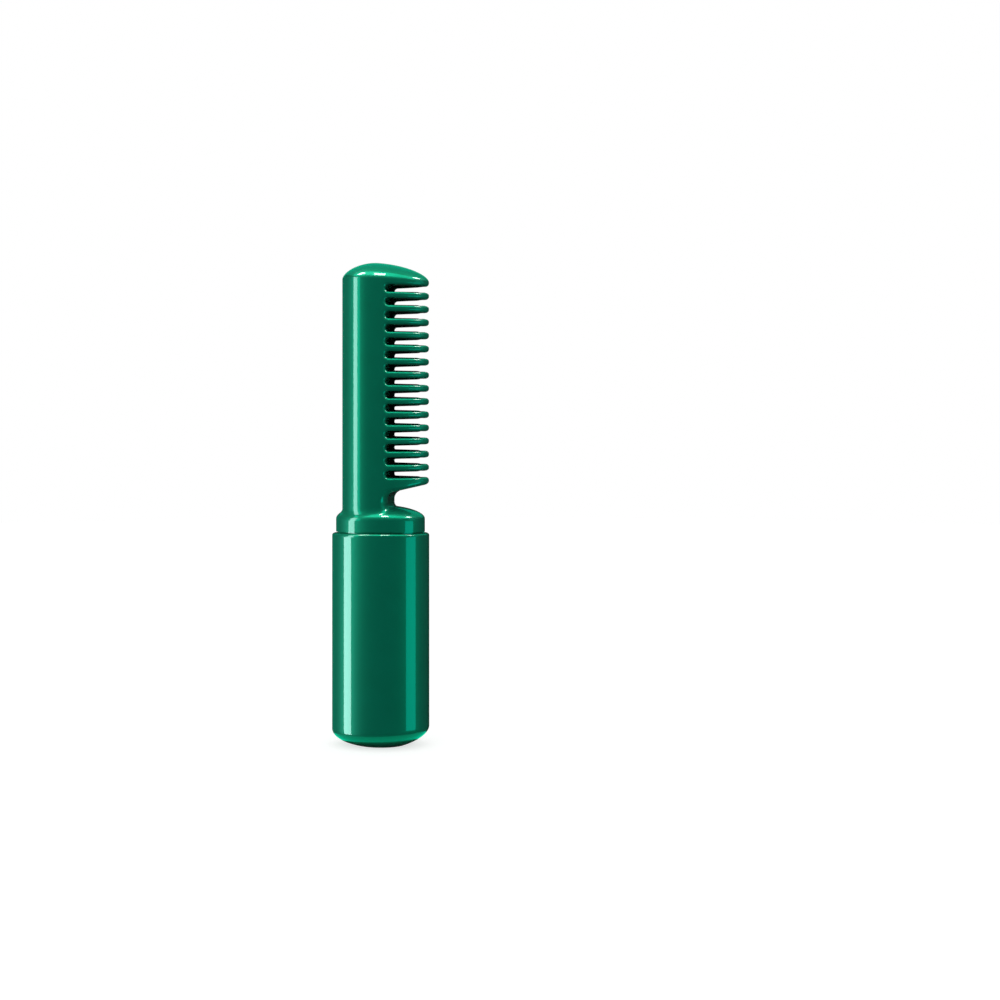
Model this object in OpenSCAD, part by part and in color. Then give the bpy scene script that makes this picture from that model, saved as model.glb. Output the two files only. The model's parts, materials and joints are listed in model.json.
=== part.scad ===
// Cordless heated hair straightening comb, standing on its base.
// The origin is the middle of the flat under the handle, +Z runs up the handle,
// +X points the way the teeth point, and -Y is the front.

/* [Handle] */
// Width of the handle across the oval
handle_w = 34; // [33:0.1:42]
// Depth of the handle, front to back
handle_d = 25; // [25:0.5:32]
// Height of the handle from the flat base to its rim
handle_h = 74.1; // [74.1:0.1:95]
// Wall of the handle shells
wall = 1.8; // [1.6:0.02:2.2]
// Floor above the flat base
floor_t = 2; // [1.6:0.1:2.5]
// Height of the domed lower end
base_dome_h = 6; // [5:0.5:8]
// Share of the oval that the flat base keeps
base_flat = 0.42; // [0.4:0.01:0.5]

/* [Collar] */
// Step from the handle's side in to the collar
collar_step = 1.35; // [1.2:0.05:2]
// Height of the collar's straight wall above the rim
collar_h = 4.7; // [4:0.1:7]
// Height of the collar's dome
collar_dome_h = 5; // [4:0.5:7]
// Depth of the seat that the collar sinks into the handle
collar_seat = 1.2; // [1:0.1:1.5]
// Length of the spigot inside the handle, below the rim
spigot_len = 8.2; // [8:0.1:10]

/* [Comb] */
// Distance from the handle's middle to the comb's spine
spine_x = 13.4; // [12:0.1:14.5]
// Distance from the handle's middle to the tips of the teeth
tip_x = 17; // [16:0.1:20]
// Depth of the comb at its thickest, front to back
comb_d = 19.6; // [18:0.2:22]
// Wall of the comb shells
comb_wall = 1.7; // [1.5:0.1:2]
// Number of slots between the teeth
slot_count = 15; // [8:1:18]
// Spacing of the teeth
tooth_pitch = 4.56; // [4.4:0.01:5.6]
// Height of a slot through the shells
slot_h = 2.5; // [2.2:0.1:2.9]
// Distance from the handle's middle to the closed end of a slot
slot_root_x = 3.5; // [3:0.1:5]
// Height of the lowest slot's middle above the rim
first_slot_h = 19.9; // [19:0.1:23]
// Height from the top slot's middle to the foot of the end dome
nose_h = 3.2; // [3:0.1:5]
// Height of the comb's end dome
end_dome_h = 6.3; // [5:0.1:8]
// Distance from the handle's middle to the neck's cut side
neck_x = 2.9; // [2:0.1:4]
// Radius where the neck runs into the lowest tooth
neck_r = 2.8; // [2:0.1:3.5]
// Height of the lowest tooth's root below the middle of the lowest slot
spur_drop = 6; // [5:0.1:7]

/* [Heating comb] */
// Thickness of the metal heating comb
plate_t = 2; // [1.5:0.1:2.5]
// Height of a gap in the heating comb at its closed end
gap_root_h = 1.16; // [1:0.02:1.4]
// Height of a gap in the heating comb at the tips
gap_tip_h = 1.72; // [1.6:0.02:2]
// How far the heating comb stands out of a shell slot's closed end
plate_proud = 1.3; // [0.8:0.1:2]
// Thickness of one ceramic heater
heater_t = 1.4; // [1:0.1:2]
// Width of one ceramic heater
heater_w = 7.5; // [6:0.1:8]
// Thickness of one mica sheet
mica_t = 0.3; // [0.2:0.1:0.5]
// Thickness of one clamp plate
clamp_t = 0.8; // [0.6:0.1:1]

/* [Power] */
// Diameter of the battery cell
cell_d = 18.3; // [16:0.1:18.4]
// Length of the battery cell
cell_l = 35; // [30:0.5:35]
// Diameter of the power button
button_d = 8; // [7:0.1:9.6]
// Travel of the power button
button_travel = 0.4; // [0.2:0.05:0.5]
// Width of the charging socket
socket_w = 8.94; // [8.94:0.01:9]
// Height of the charging socket
socket_h = 3.26; // [3.26:0.01:3.3]
// Length of the charging socket
socket_l = 7.3; // [7:0.1:7.5]

/* [Fits] */
// Gap between parts that slide past each other
slide_gap = 0.08; // [0.05:0.01:0.1]
// Gap between parts that are placed and stay
place_gap = 0.1; // [0.1:0.05:0.2]

/* [Hidden] */

seg = 48;
dome_steps = 6;
fine = 32;
extra_fine = 160;
far = 60;
eps = 0.1;
lean = 0.036;
handle_a = handle_w / 2;
handle_b = handle_d / 2;
rim_r = 0.4;
base_bulge = 1.9;
end_bulge = 1.72;
collar_a = handle_a - collar_step;
collar_b = handle_b - collar_step + 0.05;
collar_edge_z = handle_h + collar_h;
collar_peak_x = -1.7;
spigot_gap = 0.3;
spigot_a = handle_a - wall - spigot_gap;
spigot_b = handle_b - wall - spigot_gap;
spigot_wall = 2;
spigot_z = handle_h - spigot_len;
seat_z = handle_h - collar_seat;
rib_h = 0.8;
rib_depth = 1;
rib_z = seat_z - 2.2;
rib_play = 0.2;
lip_len = 1.6;
lip_reach = 0.8;
lip_t = 0.8;

comb_b = comb_d / 2;
comb_thick_x = -2.4;
comb_peak_x = -1.5;
wedge_m = 1.9;
wedge_k = 1.5;
slot_z0 = handle_h + first_slot_h;
slot_top_z = slot_z0 + tooth_pitch * (slot_count - 1);
comb_edge_z = slot_top_z + nose_h;
pin_x = -6;
pin_r = 0.8;
pin_len = 2.4;
pin_z = comb_edge_z + 0.6;
pin_foot_y = comb_b - comb_wall - 0.1;
tip_r = 0.95;
spur_slope = 0.23;
spur_x = 6;
spur_z = slot_z0 - spur_drop;
neck_floor_z = collar_edge_z + 0.5;

plate_tip_x = tip_x - 2.8;
plate_root_x = slot_root_x + plate_proud;
plate_edge_x = -spine_x + 4.05;
plate_top_z = slot_top_z + slot_h / 2 + 0.8;
plate_bottom_z = slot_z0 - slot_h / 2 - 1;
tail_z = slot_z0 - 8;
tail_x = neck_x - comb_wall - 0.6;
heater_x = plate_edge_x + 3.2;
heater_z = slot_z0 + 5;
heater_l = slot_top_z - slot_z0 - 9;
mica_rim = 0.6;
mica_end = 0.2;
clamp_side = 1.2;
clamp_rim = 3.4;
spacer_r = 1.6;
clamp_y = plate_t / 2 + heater_t + mica_t;
clamp_hole_x = heater_x + heater_w / 2;
clamp_hole_zs = [heater_z - 1.9, heater_z + heater_l + 1.9];
carrier_x = -spine_x + 2.5;
carrier_half_d = 3;
lead_window = [-6.2, 0.2];
lead_window_y = 2.4;
carrier_floor_t = 1.4;
carrier_tongue_t = 1.6;
carrier_screw_x = plate_edge_x + 3;
carrier_screw_z = tail_z + 3;
fuse_r = 1.5;
fuse_l = 5.4;
fuse_x = tail_x - fuse_r - 0.4;
fuse_z = tail_z + 1;
sensor_x = -0.8;
sensor_z = tail_z + 4.6;
sensor_y = plate_t / 2 + 1.8;
carrier_z = tail_z - 1;
carrier_top_z = plate_top_z - 0.5;
rib_zs = [slot_z0 + 6, slot_z0 + tooth_pitch * slot_count / 2, slot_top_z - 6];

socket_mouth_z = 0.6;
charge_board_z = socket_mouth_z + socket_l;
charge_board_t = 1.2;
charge_board_w = 20;
charge_board_d = 12;
charge_part_h = 2.2;
charge_post_x = 8;
charge_post_r = 1.8;
charge_face_z = charge_board_z + charge_board_t;
frame_z = charge_board_z + charge_board_t + charge_part_h;
bulkhead_t = 1.2;
tab_t = 0.3;
cell_r = cell_d / 2;
cell_z = frame_z + bulkhead_t + tab_t;
cell_top_z = cell_z + cell_l;
nub_h = 0.8;
nub_r = 3.2;
tab_x = [-3, 11];
tab_y = [place_gap, 2.6];
tab_lead_x = 9.6;
tab_lead_y = 1.35;
pad_h = 8;
pad_half_w = 4;
bulkhead_z = cell_top_z + tab_t;
frame_y = -1.2;
frame_half_w = handle_a - wall - 1.8;
duct_x = handle_a - 5;
duct_y = 3.6;
duct_half = 1.6;
cradle_t = 0.9;
board_w = 18;
board_h = 16;
board_t = 1;
board_y = handle_b - 9.1;
board_back_y = board_y + board_t;
board_top_z = spigot_z - 0.6;
board_z = board_top_z - board_h;
post_x = 7.2;
post_r = 1.9;
post_zs = [board_z + 2.4, board_top_z - 2];
ear_x = handle_a - 5.6;
ear_z = board_z + 3.2;
led_z = board_z + 1.6;
led_xs = [-3, 0, 3];
led_h = 0.7;
pipe_r = 0.8;
pipe_y = board_back_y + led_h + 0.3;
pipe_inset = 0.05;

button_r = button_d / 2;
bezel_r = button_r + 0.85;
bezel_boss_r = bezel_r + 1.4;
button_z = spigot_z - bezel_boss_r - 0.15;
dish_r = 30;
dish_depth = 1;
dish_y = handle_b - dish_depth;
bezel_y = dish_y + 0.35;
switch_w = 6;
switch_h = 3.5;
switch_y = board_back_y + switch_h;
plunger_r = 1.75;
plunger_out = button_travel + 0.55;
lid_t = 0.7;
well_r = 2.5;
snap_seat_y = board_back_y + 1.5;
snap_h = button_travel + 0.1;
snap_t = 0.12;
rest_gap = 0.05;
button_flange_t = 0.6;
button_foot_y = switch_y + plunger_out + rest_gap;
button_flange_y = button_foot_y + 0.1;
seat_y = button_flange_y + button_flange_t + 0.1;
button_top_y = bezel_y + 0.25;

boss_x = spigot_a - spigot_wall - 2.3;
boss_z = spigot_z + 2.3;
boss_r = 2.2;
boss_depth = 5.45;
head_seat_y = 3;
screw_len = 4;
screw_r = 0.9;
head_r = 1.7;
head_t = 1.2;
lead_d = 1.2;
thin_lead_d = 0.8;

green = "#0b6b52";
dark = "#1d1f21";
steel = "#b9bcc0";
board_green = "#1f6b3a";

// Half-depth of an oval of half-depth b whose thickest place is at xc.
// The side towards +X tapers like a wedge when m and k differ from 2.
function half_depth(x, x0, xc, x1, b, m = 2, k = 2) =
    x >= xc
    ? b * pow(max(0, 1 - pow((x - xc) / (x1 - xc), m)), 1 / k)
    : b * sqrt(max(0, 1 - pow((xc - x) / (xc - x0), 2)));

// Outline of that oval as seg points, two of them on the parting plane
function oval(x0, xc, x1, b, m = 2, k = 2) = [
    for (i = [0:seg - 1])
        let (c = cos(360 * i / seg), x = xc + c * (c >= 0 ? x1 - xc : xc - x0))
        [x, (i <= seg / 2 ? 1 : -1) * half_depth(x, x0, xc, x1, b, m, k)]
];
function handle_oval(t = 0) = oval(t - handle_a, 0, handle_a - t, handle_b - t);
function collar_oval(t = 0) = oval(t - collar_a, 0, collar_a - t, collar_b - t);
function spigot_oval(t = 0) = oval(t - spigot_a, 0, spigot_a - t, spigot_b - t);
function comb_oval(t = 0) =
    oval(t - spine_x, comb_thick_x, tip_x - t, comb_b - t, wedge_m, wedge_k);

// One ring of points: the outline shrunk by k about x = cx
function ring(pts, z, k = 1, cx = 0, slope = 0) =
    [for (p = pts) [cx + (p[0] - cx) * k, p[1] * k, z + slope * p[0]]];

// Rings of a dome that closes upwards from z, leaning with the end of the comb
function dome_rings(pts, z, h, bulge, cx) = [
    for (j = [0:dome_steps])
        let (k = cos(84 * j / dome_steps))
        ring(pts, z + h * pow(1 - pow(k, bulge), 1 / bulge), k, cx, -lean * k)
];

// Rings of the handle's lower end, from its flat up to the side wall
function base_rings(pts, flat_z, edge_z) = [
    for (j = [dome_steps:-1:0])
        let (
            k = base_flat + (1 - base_flat) * sin(90 - 90 * j / dome_steps),
            full = pow(1 - pow(base_flat, base_bulge), 1 / base_bulge),
            share = pow(1 - pow(k, base_bulge), 1 / base_bulge) / full,
            w = (k - base_flat) / (1 - base_flat)
        )
        ring(pts, flat_z + (edge_z - flat_z) * (1 - share), k, 0, lean * w)
];

// Closed solid through a list of rings that all have the same number of points
module skin(rings) {
    n = len(rings[0]);
    m = len(rings);
    polyhedron(
        points = [for (r = rings) each r],
        faces = concat(
            [[for (i = [0:n - 1]) i]],
            [
                for (j = [0:m - 2], i = [0:n - 1])
                    let (a = j * n + i, b = j * n + (i + 1) % n)
                    each [[a, a + n, b + n], [a, b + n, b]]
            ],
            [[for (i = [n - 1:-1:0]) (m - 1) * n + i]]
        )
    );
}

// Prism of an outline between two heights
module prism(pts, z0, z1) {
    translate([0, 0, z0]) linear_extrude(z1 - z0) polygon(pts);
}

// Flat shape drawn in X and Z, cut straight through in Y between y0 and y1
module through_y(y0 = -far, y1 = far) {
    translate([0, y1, 0]) rotate([90, 0, 0]) linear_extrude(y1 - y0) children();
}

// Round bar along Y at (x, z) between y0 and y1
module bar_y(x, z, r, y0, y1) {
    translate([x, y0, z]) rotate([-90, 0, 0]) cylinder(r = r, h = y1 - y0, $fn = fine);
}

module block(x0, x1, y0, y1, z0, z1) {
    translate([x0, y0, z0]) cube([x1 - x0, y1 - y0, z1 - z0]);
}

// Everything in front of (side -1) or behind (side 1) the parting plane
module half(side) {
    block(-far, far, side < 0 ? -far : 0, side < 0 ? 0 : far, -far, 5 * far);
}

// Stadium outline, w long in X and h high
module stadium(w, h) {
    square([w - h, h], center = true);
    for (s = [-1, 1]) translate([s * (w - h) / 2, 0]) circle(d = h, $fn = fine);
}

// A round lead swept along a route of points, with its ends cut square
function unit(v) = v / norm(v);
function catmull(a, b, c, d, t) =
    0.5 * (2 * b + (c - a) * t + (2 * a - 5 * b + 4 * c - d) * t * t
        + (3 * b - a - 3 * c + d) * t * t * t);
function smooth_route(p, per) = [
    for (i = [0:len(p) - 2], s = [0:per - 1])
        catmull(p[max(i - 1, 0)], p[i], p[i + 1], p[min(i + 2, len(p) - 1)], s / per),
    p[len(p) - 1]
];
module lead(points, d) {
    last = len(points) - 1;
    path = smooth_route(points, 3);
    sides = 8;
    skin([
        for (i = [0:len(path) - 1])
            let (
                t = i <= 1 ? unit(points[1] - points[0])
                    : i >= len(path) - 2 ? unit(points[last] - points[last - 1])
                    : unit(path[i + 1] - path[i - 1]),
                a = unit(cross(t, abs(t[1]) > 0.9 ? [1, 0, 0] : [0, 1, 0])),
                b = cross(t, a)
            )
            [
                for (q = [0:sides - 1])
                    let (turn = 360 * q / sides)
                    path[i] + d / 2 * (cos(turn) * a + sin(turn) * b)
            ]
    ]);
}

// Handle shells

module handle_solid() {
    skin(concat(
        base_rings(handle_oval(), 0, base_dome_h),
        [ring(handle_oval(), handle_h - rim_r), ring(handle_oval(rim_r), handle_h)]
    ));
}

module handle_space() {
    skin(concat(
        base_rings(handle_oval(wall), floor_t, base_dome_h),
        [ring(handle_oval(wall), handle_h + 1)]
    ));
}

module handle_rib() {
    translate([0, 0, rib_z]) linear_extrude(rib_h) difference() {
        polygon(handle_oval(wall / 2));
        polygon(handle_oval(wall + rib_depth));
    }
}

module handle_half(side) {
    intersection() {
        half(side);
        difference() {
            union() {
                difference() {
                    handle_solid();
                    handle_space();
                }
                handle_rib();
            }
            prism(collar_oval(-place_gap), seat_z, handle_h + 1);
            translate([0, 0, -eps]) linear_extrude(floor_t + 2)
                stadium(socket_w + 2 * place_gap, socket_h + 2 * place_gap);
        }
    }
}

// Lip along the parting line that keeps the two halves in line
module handle_lip() {
    lip_z = charge_board_z + 4;
    lip_top = spigot_z - 1.9;
    difference() {
        union() {
            intersection() {
                prism(handle_oval(wall / 2), lip_z, lip_top);
                block(-far, far, -lip_len, 0, lip_z, lip_top);
            }
            intersection() {
                prism(handle_oval(wall + place_gap), lip_z, lip_top);
                block(-far, far, -lip_len, lip_reach, lip_z, lip_top);
            }
        }
        prism(handle_oval(wall + place_gap + lip_t), lip_z - eps, lip_top + eps);
    }
}

module handle_front_shell() {
    color(green) difference() {
        union() {
            handle_half(-1);
            handle_lip();
            intersection() {
                prism(handle_oval(wall / 2), 0, handle_h);
                for (s = [-1, 1]) bar_y(s * ear_x, ear_z, boss_r, -handle_b, frame_y);
            }
        }
        for (s = [-1, 1]) bar_y(s * ear_x, ear_z, screw_r, frame_y - screw_len, frame_y + eps);
    }
}

module handle_rear_shell() {
    color(green) difference() {
        union() {
            handle_half(1);
            intersection() {
                bar_y(0, button_z, bezel_boss_r, seat_y, handle_b);
                prism(handle_oval(wall / 2), 0, handle_h);
            }
        }
        translate([0, dish_y + dish_r, button_z]) sphere(r = dish_r, $fn = fine);
        bar_y(0, button_z, bezel_r, 0, far);
        for (x = led_xs) bar_y(x, led_z, pipe_r + pipe_inset, 0, far);
    }
}

// Comb shells, which carry the collar and the spigot

// Outline in X and Z of the space under the lowest tooth, grown by g
function notch_points(g = 0) =
    let (
        a = atan(spur_slope),
        cx = neck_x + neck_r,
        cz = spur_z + spur_slope * (cx - spur_x) - neck_r / cos(a),
        r = neck_r + g
    )
    concat(
        [[neck_x - g, neck_floor_z - 12]],
        [for (i = [0:6]) let (q = 180 - (90 - a) * i / 6) [cx + r * cos(q), cz + r * sin(q)]],
        [
            [tip_x + 3, spur_z + spur_slope * (tip_x + 3 - spur_x) + g / cos(a)],
            [tip_x + 3, neck_floor_z - 12]
        ]
    );

// Outline of a slot, with its closed end at root and its mouth rounded at the tips
module slot_outline(root, h0, h1, end_x, end_r) {
    translate([root + h0 / 2, 0]) circle(d = h0, $fn = fine);
    polygon(concat(
        [[root + h0 / 2, h0 / 2]],
        [for (i = [0:4]) let (q = 90 * i / 4)
            [end_x - end_r + end_r * sin(q), h1 / 2 + end_r * (1 - cos(q))]],
        [[end_x + 3, h1 / 2 + end_r], [end_x + 3, -h1 / 2 - end_r]],
        [for (i = [4:-1:0]) let (q = 90 * i / 4)
            [end_x - end_r + end_r * sin(q), -h1 / 2 - end_r * (1 - cos(q))]],
        [[root + h0 / 2, -h0 / 2]]
    ));
}

module comb_solid() {
    difference() {
        skin(concat(
            [ring(comb_oval(), neck_floor_z - 6)],
            dome_rings(comb_oval(), comb_edge_z, end_dome_h, end_bulge, comb_peak_x)
        ));
        through_y() polygon(notch_points());
    }
}

module comb_space() {
    difference() {
        skin(concat(
            [ring(comb_oval(comb_wall), neck_floor_z - 6)],
            dome_rings(
                comb_oval(comb_wall), comb_edge_z - 0.4, end_dome_h - comb_wall, end_bulge, comb_peak_x
            )
        ));
        through_y() polygon(notch_points(comb_wall));
    }
}

module collar_solid() {
    skin(concat(
        [ring(collar_oval(), seat_z)],
        dome_rings(collar_oval(), collar_edge_z, collar_dome_h, 2, collar_peak_x)
    ));
    prism(spigot_oval(), spigot_z, seat_z + 1);
}

module collar_space() {
    skin(concat(
        [ring(collar_oval(comb_wall), seat_z)],
        dome_rings(
            collar_oval(comb_wall), collar_edge_z - 1, collar_dome_h - comb_wall, 2, collar_peak_x
        )
    ));
    prism(spigot_oval(spigot_wall), spigot_z - 1, seat_z + 1);
}

module spigot_groove() {
    translate([0, 0, rib_z - rib_play]) linear_extrude(rib_h + 2 * rib_play) difference() {
        polygon(handle_oval(wall - 1));
        polygon(handle_oval(wall + rib_depth + rib_play));
    }
}

module comb_half(side) {
    intersection() {
        half(side);
        difference() {
            union() {
                collar_solid();
                comb_solid();
            }
            collar_space();
            comb_space();
            spigot_groove();
            for (i = [0:slot_count - 1])
                translate([0, 0, slot_z0 + i * tooth_pitch]) through_y()
                    slot_outline(slot_root_x, slot_h, slot_h, tip_x, tip_r);
        }
    }
    comb_ribs(side);
}

// Thin ribs that hold the heater carrier from both sides
module comb_ribs(side) {
    intersection() {
        prism(comb_oval(comb_wall / 2), carrier_z, comb_edge_z);
        for (z = rib_zs)
            block(carrier_x, plate_edge_x + 1,
                side < 0 ? -far : carrier_half_d + place_gap,
                side < 0 ? -carrier_half_d - place_gap : far,
                z - 0.6, z + 0.6);
    }
}

// Screw bosses inside the spigot, trimmed to its outline
module shell_bosses(y0, y1) {
    intersection() {
        prism(spigot_oval(spigot_wall / 2), spigot_z, seat_z);
        for (s = [-1, 1]) bar_y(s * boss_x, boss_z, boss_r, y0, y1);
    }
}

module comb_front_shell() {
    color(green) difference() {
        union() {
            comb_half(-1);
            shell_bosses(-boss_depth, 0);
            bar_y(pin_x, pin_z, pin_r + 0.4, -pin_foot_y, 0);
            bar_y(pin_x, pin_z, pin_r, -eps, pin_len);
        }
        for (s = [-1, 1]) bar_y(s * boss_x, boss_z, screw_r, -screw_len - 0.4, eps);
    }
}

module comb_rear_shell() {
    color(green) difference() {
        union() {
            comb_half(1);
            shell_bosses(0, boss_depth);
            bar_y(pin_x, pin_z, pin_r + 0.7, 0, pin_foot_y - 0.2);
        }
        bar_y(pin_x, pin_z, pin_r + slide_gap, -eps, pin_len + 0.6);
        for (s = [-1, 1]) {
            bar_y(s * boss_x, boss_z, screw_r + place_gap, -eps, far);
            bar_y(s * boss_x, boss_z, head_r + place_gap, head_seat_y, far);
        }
    }
}

// Button, bezel and light pipes

module power_button() {
    color(green) {
        bar_y(0, button_z, button_r, button_foot_y, button_top_y);
        bar_y(0, button_z, bezel_r - 0.15, button_flange_y, button_flange_y + button_flange_t);
    }
}

module button_bezel() {
    color(steel) difference() {
        bar_y(0, button_z, bezel_r, seat_y, bezel_y);
        bar_y(0, button_z, button_r + slide_gap, seat_y - eps, bezel_y + eps);
    }
}

module status_light_pipes() {
    color("white") {
        for (x = led_xs)
            bar_y(x, led_z, pipe_r, pipe_y, half_depth(x, -handle_a, 0, handle_a, handle_b) - pipe_inset);
        block(led_xs[0] - 1.4, led_xs[2] + 1.4, pipe_y + 2, pipe_y + 3, led_z - pipe_r, led_z + pipe_r);
    }
}

// Charging socket and its board

module usb_socket_shell() {
    sheet = 0.25;
    color(steel) translate([0, 0, socket_mouth_z]) difference() {
        linear_extrude(socket_l) stadium(socket_w, socket_h);
        translate([0, 0, -sheet]) linear_extrude(socket_l - sheet)
            stadium(socket_w - 2 * sheet, socket_h - 2 * sheet);
    }
}

module usb_socket_tongue() {
    back_z = charge_board_z - 0.5;
    color(dark) {
        block(-3.35, 3.35, -0.35, 0.35, socket_mouth_z + 1.2, back_z);
        block(-3.1, 3.1, -1.2, 1.2, back_z - 1.2, back_z);
    }
}

module charge_board() {
    half_w = charge_board_w / 2;
    half_d = charge_board_d / 2;
    color(board_green) difference() {
        block(-half_w, half_w, -half_d, half_d, charge_board_z, charge_face_z);
        for (s = [-1, 1]) translate([s * charge_post_x, 0, charge_board_z - eps])
            cylinder(r = screw_r + place_gap, h = charge_board_t + 2 * eps, $fn = fine);
    }
}

module charge_chip() {
    color(dark) block(-2.5, 1.5, -4.6, -0.6, charge_face_z, charge_face_z + 1.3);
}

module charge_inductor() {
    coil_z = charge_face_z + 1.7;
    color("#3a3d40") {
        block(2, 6, -5, -1, charge_face_z, coil_z);
        translate([4, -3, coil_z]) cylinder(r = 1.6, h = 0.2, $fn = fine);
    }
}

module charge_capacitors() {
    w = 1.6;
    color("#b99a6b") for (i = [0:3])
        translate([-5 + i * (w + 1), w, charge_face_z]) cube([w, w / 2, w / 2]);
}

module charge_board_screws() {
    shank = charge_board_t + charge_part_h + bulkhead_t - 0.2;
    color(steel) for (s = [-1, 1]) translate([s * charge_post_x, 0, charge_board_z]) {
        translate([0, 0, -head_t]) cylinder(r = head_r, h = head_t, $fn = fine);
        cylinder(r = screw_r, h = shank, $fn = fine);
    }
}

// Frame that carries the battery and the boards

module frame_bulkhead(z) {
    intersection() {
        prism(handle_oval(wall + 1.2), z, z + bulkhead_t);
        block(-frame_half_w, frame_half_w, -far, cell_r - 1, z, z + bulkhead_t);
    }
}

module inner_frame() {
    tray_h = bulkhead_z - frame_z;
    cell_bore = cell_r + place_gap;
    color(dark) difference() {
        union() {
            frame_bulkhead(frame_z);
            frame_bulkhead(bulkhead_z);
            intersection() {
                translate([0, 0, frame_z])
                    cylinder(r = cell_bore + cradle_t, h = tray_h + bulkhead_t, $fn = 2 * fine);
                half(-1);
            }
            block(-frame_half_w, frame_half_w, frame_y, 0, frame_z, board_top_z);
            for (s = [-1, 1]) {
                translate([s * charge_post_x, 0, charge_face_z])
                    cylinder(r = charge_post_r, h = charge_part_h + eps, $fn = fine);
                for (z = post_zs) bar_y(s * post_x, z, post_r, frame_y / 2, board_y);
            }
        }
        translate([0, 0, frame_z + bulkhead_t])
            cylinder(r = cell_bore, h = tray_h - bulkhead_t, $fn = 2 * fine);
        for (s = [-1, 1]) {
            bar_y(s * ear_x, ear_z, screw_r + place_gap, -far, far);
            bar_y(s * post_x, post_zs[1], screw_r, frame_y / 2, far);
            translate([s * charge_post_x, 0, 0])
                cylinder(r = screw_r, h = frame_z + bulkhead_t - eps, $fn = fine);
            for (z = [frame_z, bulkhead_z])
                block(s < 0 ? -far : duct_x - duct_half, s < 0 ? duct_half - duct_x : far,
                    duct_y - duct_half, duct_y + duct_half, z - eps, z + bulkhead_t + eps);
        }
        translate([tab_lead_x, tab_lead_y, bulkhead_z - eps])
            cylinder(r = lead_d / 2 + 0.3, h = bulkhead_t + 2 * eps, $fn = fine);
    }
}

module frame_screws() {
    color(steel) for (s = [-1, 1]) {
        bar_y(s * ear_x, ear_z, head_r, 0, head_t);
        bar_y(s * ear_x, ear_z, screw_r, frame_y - screw_len + 0.2, 0);
    }
}

module battery_cell() {
    color("#2f6fb0") translate([0, 0, cell_z]) {
        cylinder(r = cell_r, h = cell_l - nub_h, $fn = 2 * fine);
        translate([0, 0, cell_l - nub_h]) cylinder(r = nub_r, h = nub_h, $fn = fine);
    }
}

module battery_top_tab() {
    color(steel) block(tab_x[0], tab_x[1], tab_y[0], tab_y[1], cell_top_z, cell_top_z + tab_t);
}

module battery_bottom_tab() {
    color(steel) block(tab_x[0], tab_x[1], tab_y[0], tab_y[1], cell_z - tab_t, cell_z);
}

// Foam strips between the cell and the rear shell
module battery_pads() {
    color("#4a4a4a") for (z = [cell_z + 4, cell_top_z - pad_h - 4]) intersection() {
        difference() {
            prism(handle_oval(wall + place_gap), z, z + pad_h);
            translate([0, 0, z - eps])
                cylinder(r = cell_r + rest_gap, h = pad_h + 2 * eps, $fn = 2 * fine);
        }
        block(-pad_half_w, pad_half_w, cell_r / 2, far, z, z + pad_h);
    }
}

// Control board and what sits on it

module control_board() {
    color(board_green) difference() {
        block(-board_w / 2, board_w / 2, board_y, board_back_y, board_z, board_top_z);
        for (s = [-1, 1]) bar_y(s * post_x, post_zs[1], screw_r + place_gap, 0, far);
    }
}

module board_screws() {
    color(steel) for (s = [-1, 1]) {
        bar_y(s * post_x, post_zs[1], head_r, board_back_y, board_back_y + head_t);
        bar_y(s * post_x, post_zs[1], screw_r, 0, board_back_y);
    }
}

module control_chip() {
    color(dark) block(-4, 1, board_y - 1.4, board_y, board_z + 5.6, board_z + 9.6);
}

module power_transistors() {
    w = 3.2;
    color(dark) for (x = [-4.6, w - 3.6])
        block(x, x + w, board_y - 1, board_y, board_z + 1.4, board_z + 1.4 + w);
}

module lead_connector() {
    color("#e8e4d8") block(-4, 4, board_y - 2.8, board_y, board_top_z - 3.4, board_top_z - 0.4);
}

module status_leds() {
    w = 1.6;
    color("#f3efe0") for (x = led_xs)
        block(x - w / 2, x + w / 2, board_back_y, board_back_y + led_h, led_z - w / 4, led_z + w / 4);
}

module switch_body() {
    color(dark) difference() {
        translate([-switch_w / 2, board_back_y, button_z - switch_w / 2])
            cube([switch_w, switch_h, switch_w]);
        bar_y(0, button_z, well_r, snap_seat_y, switch_y - lid_t);
        bar_y(0, button_z, well_r - 0.5, snap_seat_y - button_travel - 0.2, snap_seat_y + eps);
        bar_y(0, button_z, plunger_r + slide_gap, snap_seat_y, far);
    }
}

module switch_plunger() {
    flange_y = snap_seat_y + snap_h + rest_gap;
    color("#c9b27a") {
        bar_y(0, button_z, plunger_r, flange_y, switch_y + plunger_out);
        bar_y(0, button_z, well_r - 0.2, flange_y, switch_y - lid_t - rest_gap);
    }
}

// Sprung metal disc under the plunger, a shallow spherical cap
module switch_snap_dome() {
    rim = well_r - place_gap;
    ball = (rim * rim + snap_h * snap_h) / (2 * snap_h);
    color(steel) intersection() {
        translate([0, snap_seat_y + snap_h - ball, button_z]) difference() {
            sphere(r = ball, $fn = extra_fine);
            sphere(r = ball - snap_t, $fn = extra_fine);
        }
        bar_y(0, button_z, rim, snap_seat_y, snap_seat_y + snap_h + eps);
    }
}

// Leads, along routes of chosen points

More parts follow.
